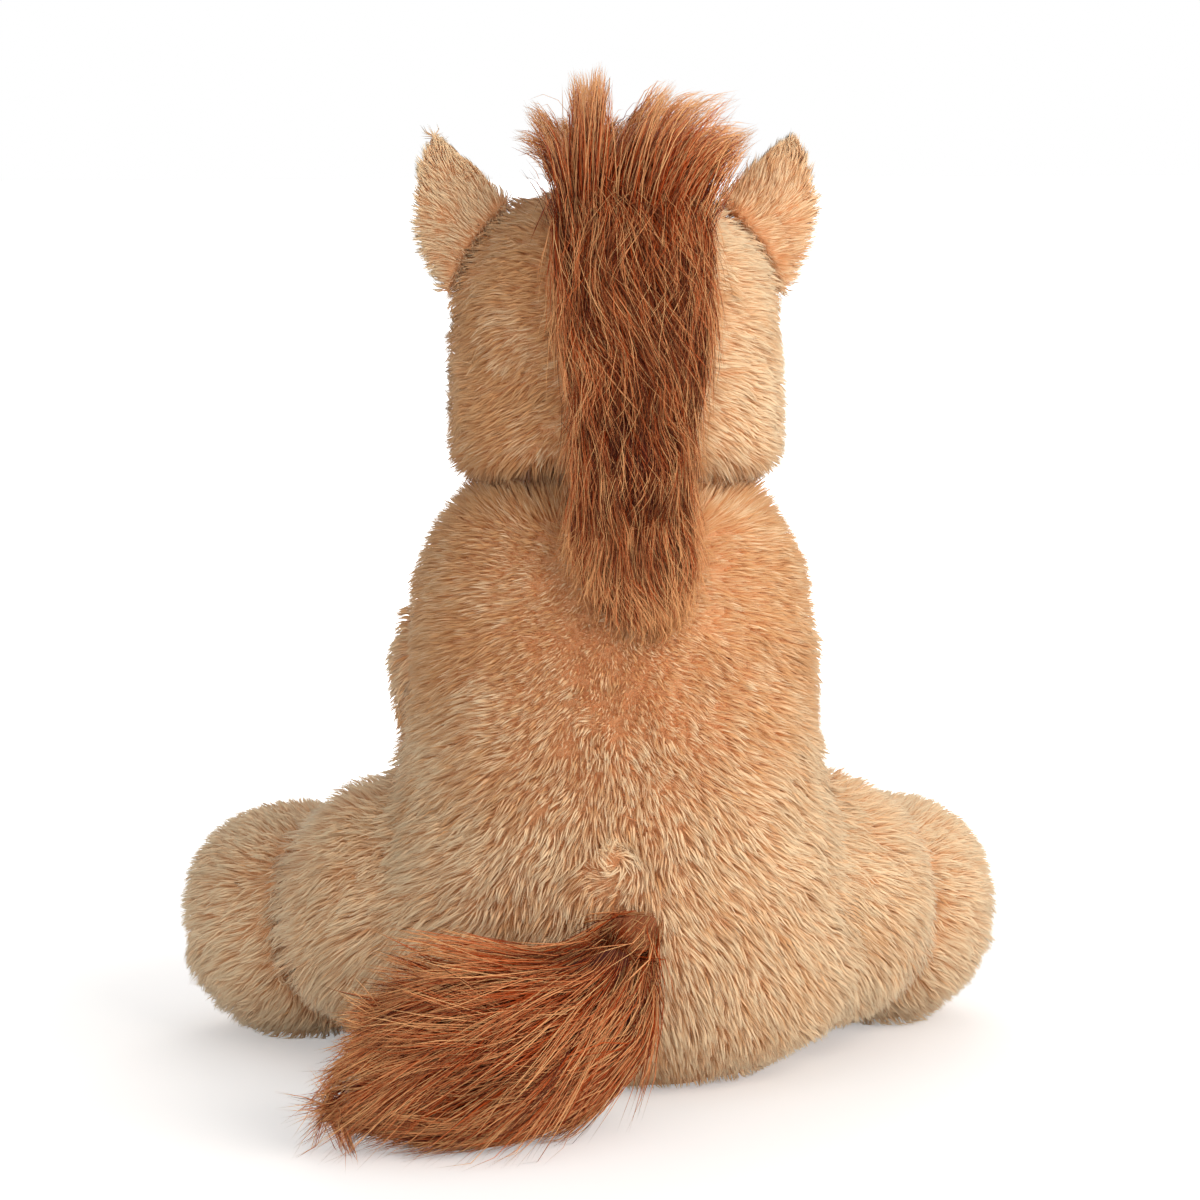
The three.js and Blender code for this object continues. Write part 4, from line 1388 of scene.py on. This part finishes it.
class HORSE_OT_eyes(Operator):
    """Makes the glossy eyes, and finishes the washers that hold them"""

    bl_idname = "plush_horse.eyes"
    bl_label = "Eyes"

    def execute(self, context):
        trim = setting("trim")
        for _, hand in SIDES:
            node = f"{hand}_eye"
            middle, axis, low, high = lathe_axis(node)
            radius = 6.5 * MM
            dome = 4.5 * MM
            shank = 1.6 * MM
            seat = high - dome
            outline = [(0, low), (shank, low), (shank, seat - 0.6 * MM), (radius - 0.8 * MM, seat - 0.4 * MM)]
            steps = 14
            for step in range(steps + 1):
                angle = math.pi / 2 * step / steps
                off = radius * math.cos(angle) if step < steps else 0
                outline.append((off, seat + dome * math.sin(angle)))
            bm = bmesh.new()
            verts = [bm.verts.new((x, 0, z)) for x, z in outline]
            edges = [bm.edges.new(pair) for pair in zip(verts, verts[1:])]
            bmesh.ops.spin(bm, geom=verts + edges, cent=(0, 0, 0), axis=(0, 0, 1), angle=2 * math.pi,
                           steps=48, use_merge=True)
            bmesh.ops.remove_doubles(bm, verts=bm.verts, dist=0.01 * MM)
            bmesh.ops.recalc_face_normals(bm, faces=bm.faces)
            layer = bm.loops.layers.uv.new("OFBake")
            for face in bm.faces:
                centre = face.calc_center_median()
                turn = math.atan2(centre.y, centre.x) / (2 * math.pi) + 0.5
                for loop in face.loops:
                    spot = loop.vert.co
                    off = math.hypot(spot.x, spot.y) / radius if spot.z > seat - 0.5 * MM else 1
                    loop[layer].uv = (0.05 + 0.9 * turn + 0.01 * (loop.index % 2), 0.02 + 0.96 * off)
            turn = Vector((0, 0, 1)).rotation_difference(axis).to_matrix().to_4x4()
            bmesh.ops.transform(bm, verts=bm.verts, matrix=Matrix.Translation(middle) @ turn)
            eye = new_piece(f"{hand}_glossy_eye", bm, finish_of("eye_plastic", eye_material, trim.eye))
            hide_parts(node)
            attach(eye, "head")
            washer = frame["nodes"][f"{hand}_eye_washer"]
            washer.data.materials.clear()
            washer.data.materials.append(finish_of("washer_plastic", washer_material, trim.washer))
        return {"FINISHED"}


def sewn(name, paths, width, tones, thread, body, node):
    """One piece of thick stitches along paths, which rides on a body and replaces a node."""
    widths = np.full(len(paths), width)
    stitches = plant(name, np.array(paths), widths, tones, STITCH_OUTLINE, thread, sides=6)
    bundle([stitches], body, "thread", node)


class HORSE_OT_embroidery(Operator):
    """Stitches the nostrils and the mouth"""

    bl_idname = "plush_horse.embroidery"
    bl_label = "Embroidery"

    def execute(self, context):
        thread = finish_of("embroidery_thread", thread_material, setting("trim").thread)
        surface = cad_tree("muzzle")
        stitches = 11
        for _, hand in SIDES:
            node = f"{hand}_nostril"
            lo, hi = (Vector(corner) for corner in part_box(node))
            middle, half = (lo + hi) / 2, (hi - lo) / 2
            paths = []
            for stitch in range(stitches):
                over = 2 * (stitch + 0.5) / stitches - 1
                tall = half.z * math.sqrt(1 - over * over) + 0.4 * MM
                path = []
                for level in range(STITCH_STEPS + 1):
                    share = level / STITCH_STEPS * 2 - 1
                    start = Vector((middle.x + over * half.x, lo.y - 20 * MM, middle.z + share * tall))
                    hit, facing = surface.ray_cast(start, Vector((0, 1, 0)))[:2]
                    path.append(hit + facing * (1.3 * MM * (1 - share * share) - 0.2 * MM))
                paths.append(path)
            sewn(f"{node}_stitches", paths, 1.0 * MM, np.linspace(0.2, 0.8, stitches), thread, "head", node)
        lo, hi = (Vector(corner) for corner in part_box("mouth_stitch"))
        inset = 1.5 * MM

        def on_mouth(share):
            height = hi.z - inset - (hi.z - lo.z - 2 * inset) * (1 - (2 * share - 1) ** 2)
            start = Vector((lo.x + inset + (hi.x - lo.x - 2 * inset) * share, lo.y - 20 * MM, height))
            return surface.ray_cast(start, Vector((0, 1, 0)))[:2]

        paths = []
        for strand in (-1, 1):
            for stitch in range(stitches):
                path = []
                for level in range(STITCH_STEPS + 1):
                    share = np.clip((stitch + level / STITCH_STEPS * 1.25 - 0.12) / stitches, 0, 1)
                    hit, facing = on_mouth(share)
                    lift = 0.9 * MM * math.sin(math.pi * level / STITCH_STEPS)
                    path.append(hit + facing * lift + Vector((0, 0, strand * 0.35 * MM)))
                paths.append(path)
        tones = np.tile(np.linspace(0.3, 0.7, stitches), 2)
        sewn("mouth_stitches", paths, 1.2 * MM, tones, thread, "head", "mouth_stitch")
        return {"FINISHED"}


class HORSE_OT_inner_parts(Operator):
    """Finishes the pouch, the tail's tab and the thread that closes the back"""

    bl_idname = "plush_horse.inner_parts"
    bl_label = "Inner parts"

    def execute(self, context):
        trim = setting("trim")
        cotton = finish_of("cotton", cloth_material, trim.cloth)
        stuffed("seat_pouch_cloth", ["seat_pellet_pouch"], 0.2 * MM, 6 * MM, cotton, smoothings=2)
        brown_cotton = finish_of("brown_cotton", cloth_material, trim.tab)
        stuffed("tail_tab_cloth", ["tail_root"], 0.2 * MM, 1.5 * MM, brown_cotton, smoothings=2)
        tan_thread = finish_of("tan_thread", thread_material, trim.seam)
        lo, hi = (np.array(corner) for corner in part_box("closing_stitches"))
        surface = tree_of(made("body_skin"))
        paths = []
        count = 9
        for stitch in range(count):
            height = lo[2] + (hi[2] - lo[2]) * (stitch + 0.5) / count
            path = []
            for level in range(STITCH_STEPS + 1):
                share = 2 * level / STITCH_STEPS - 1
                spot = Vector((share * 2.4 * MM, hi[1] + 20 * MM, height + share * 1.1 * MM))
                hit, facing = surface.ray_cast(spot, Vector((0, -1, 0)))[:2]
                path.append(hit + facing * (0.5 * MM * (1 - share * share)))
            paths.append(path)
        sewn("back_seam_stitches", paths, 0.7 * MM, np.full(count, 0.9), tan_thread, "body",
             "closing_stitches")
        return {"FINISHED"}


class HORSE_OT_stage(Operator):
    """Sets the floor, the lights and the camera at the photograph's angle"""

    bl_idname = "plush_horse.stage"
    bl_label = "Stage"

    def execute(self, context):
        stage = setting("stage")
        scene = context.scene
        bm = bmesh.new()
        bmesh.ops.create_grid(bm, x_segments=1, y_segments=1, size=6)
        floor = new_piece("floor", bm, finish_of("floor_white", floor_material))
        level = math.cos(stage.rise)
        back = Vector((math.sin(stage.turn) * level, -math.cos(stage.turn) * level, math.sin(stage.rise)))
        aim = Vector((0, 0, stage.aim))
        camera = bpy.data.objects.new("camera", bpy.data.cameras.new("camera"))
        camera.location = aim + back * stage.distance
        camera.rotation_euler = (-back).to_track_quat("-Z", "Y").to_euler()
        camera.data.lens = stage.lens
        camera.data.sensor_width = 36
        camera.data.shift_x, camera.data.shift_y = stage.shift
        scene.collection.objects.link(camera)
        scene.camera = camera
        for name, place, size, power, colour in (
                ("key", (-0.8, 0.95, 0.7), 1.0, stage.key, stage.key_colour),
                ("fill", (0.6, 1.15, 0.15), 0.8, stage.fill, stage.fill_colour),
                ("front", (-0.2, -1.3, 0.9), 1.0, stage.fill * 2, stage.key_colour)):
            lamp = bpy.data.lights.new(name, "AREA")
            lamp.size = size
            lamp.energy = power
            lamp.color = colour
            lamp_piece = bpy.data.objects.new(name, lamp)
            lamp_piece.location = place
            lamp_piece.rotation_euler = (aim - Vector(place)).to_track_quat("-Z", "Y").to_euler()
            scene.collection.objects.link(lamp_piece)
        white_world(scene, stage.ambient)
        scene.view_settings.view_transform = "Standard"
        return {"FINISHED"}


def floor_material(name):
    """White to the camera, and darker only where the toy shades it."""
    shader = Shader(name, Roughness=0.9)
    shader.drive("Base Color", (0.82, 0.82, 0.82))
    shader.drive("Emission Color", (1, 1, 1))
    away = shader.add("ShaderNodeVectorMath", {"operation": "LENGTH"}, {0: shader.place()}, output=1)
    far = shader.spread(away, 0.15, 0.6, 0.35, 1.2, kind="SMOOTHSTEP")
    camera = shader.add("ShaderNodeLightPath", output="Is Camera Ray")
    seen = camera.most(camera.beside("Is Glossy Ray")).most(camera.beside("Is Transmission Ray"))
    shader.drive("Emission Strength", seen * far)
    return shader.material


def white_world(scene, ambient):
    """Plain light all round, and white where the camera or a gloss looks past the floor."""
    world = bpy.data.worlds.new("studio")
    world.use_nodes = True
    tree = world.node_tree
    background = tree.nodes["Background"]
    background.inputs["Color"].default_value = (1, 1, 1, 1)
    path = tree.nodes.new("ShaderNodeLightPath")
    seen = path
    for ray in ("Glossy", "Transmission"):
        most = tree.nodes.new("ShaderNodeMath")
        most.operation = "MAXIMUM"
        tree.links.new(seen.outputs[0], most.inputs[0])
        tree.links.new(path.outputs[f"Is {ray} Ray"], most.inputs[1])
        seen = most
    strength = tree.nodes.new("ShaderNodeMapRange")
    strength.inputs["To Min"].default_value = ambient
    strength.inputs["To Max"].default_value = 1
    tree.links.new(seen.outputs[0], strength.inputs["Value"])
    tree.links.new(strength.outputs["Result"], background.inputs["Strength"])
    scene.world = world


OPERATORS = (
    HORSE_OT_body_skin, HORSE_OT_head_skin, HORSE_OT_limb_skins, HORSE_OT_ears, HORSE_OT_soles,
    HORSE_OT_hair_bases, HORSE_OT_inner_parts, HORSE_OT_body_pile, HORSE_OT_limb_pile, HORSE_OT_head_pile,
    HORSE_OT_ear_pile, HORSE_OT_mane, HORSE_OT_forelock, HORSE_OT_tail, HORSE_OT_eyes, HORSE_OT_embroidery,
    HORSE_OT_stage,
)


class HORSE_PT_panel(Panel):
    """Lists the steps and settings of the plush horse"""

    bl_idname = "HORSE_PT_panel"
    bl_label = "Plush Horse"
    bl_space_type = "VIEW_3D"
    bl_region_type = "UI"
    bl_category = "Plush Horse"

    def draw(self, context):
        for operator in OPERATORS:
            self.layout.operator(operator.bl_idname)
        for group, kind in GROUPS.items():
            box = self.layout.box()
            box.label(text=kind.__doc__)
            for name in kind.__annotations__:
                box.prop(setting(group), name)


def register():
    for kind in (*GROUPS.values(), *OPERATORS, HORSE_PT_panel):
        bpy.utils.register_class(kind)
    for group, kind in GROUPS.items():
        setattr(bpy.types.Scene, "plush_horse_" + group, PointerProperty(type=kind))


def unregister():
    for group in GROUPS:
        delattr(bpy.types.Scene, "plush_horse_" + group)
    for kind in reversed((*GROUPS.values(), *OPERATORS, HORSE_PT_panel)):
        bpy.utils.unregister_class(kind)


def main():
    register()
    for operator in OPERATORS:
        group, name = operator.bl_idname.split(".")
        getattr(getattr(bpy.ops, group), name)()


if __name__ == "__main__":
    main()
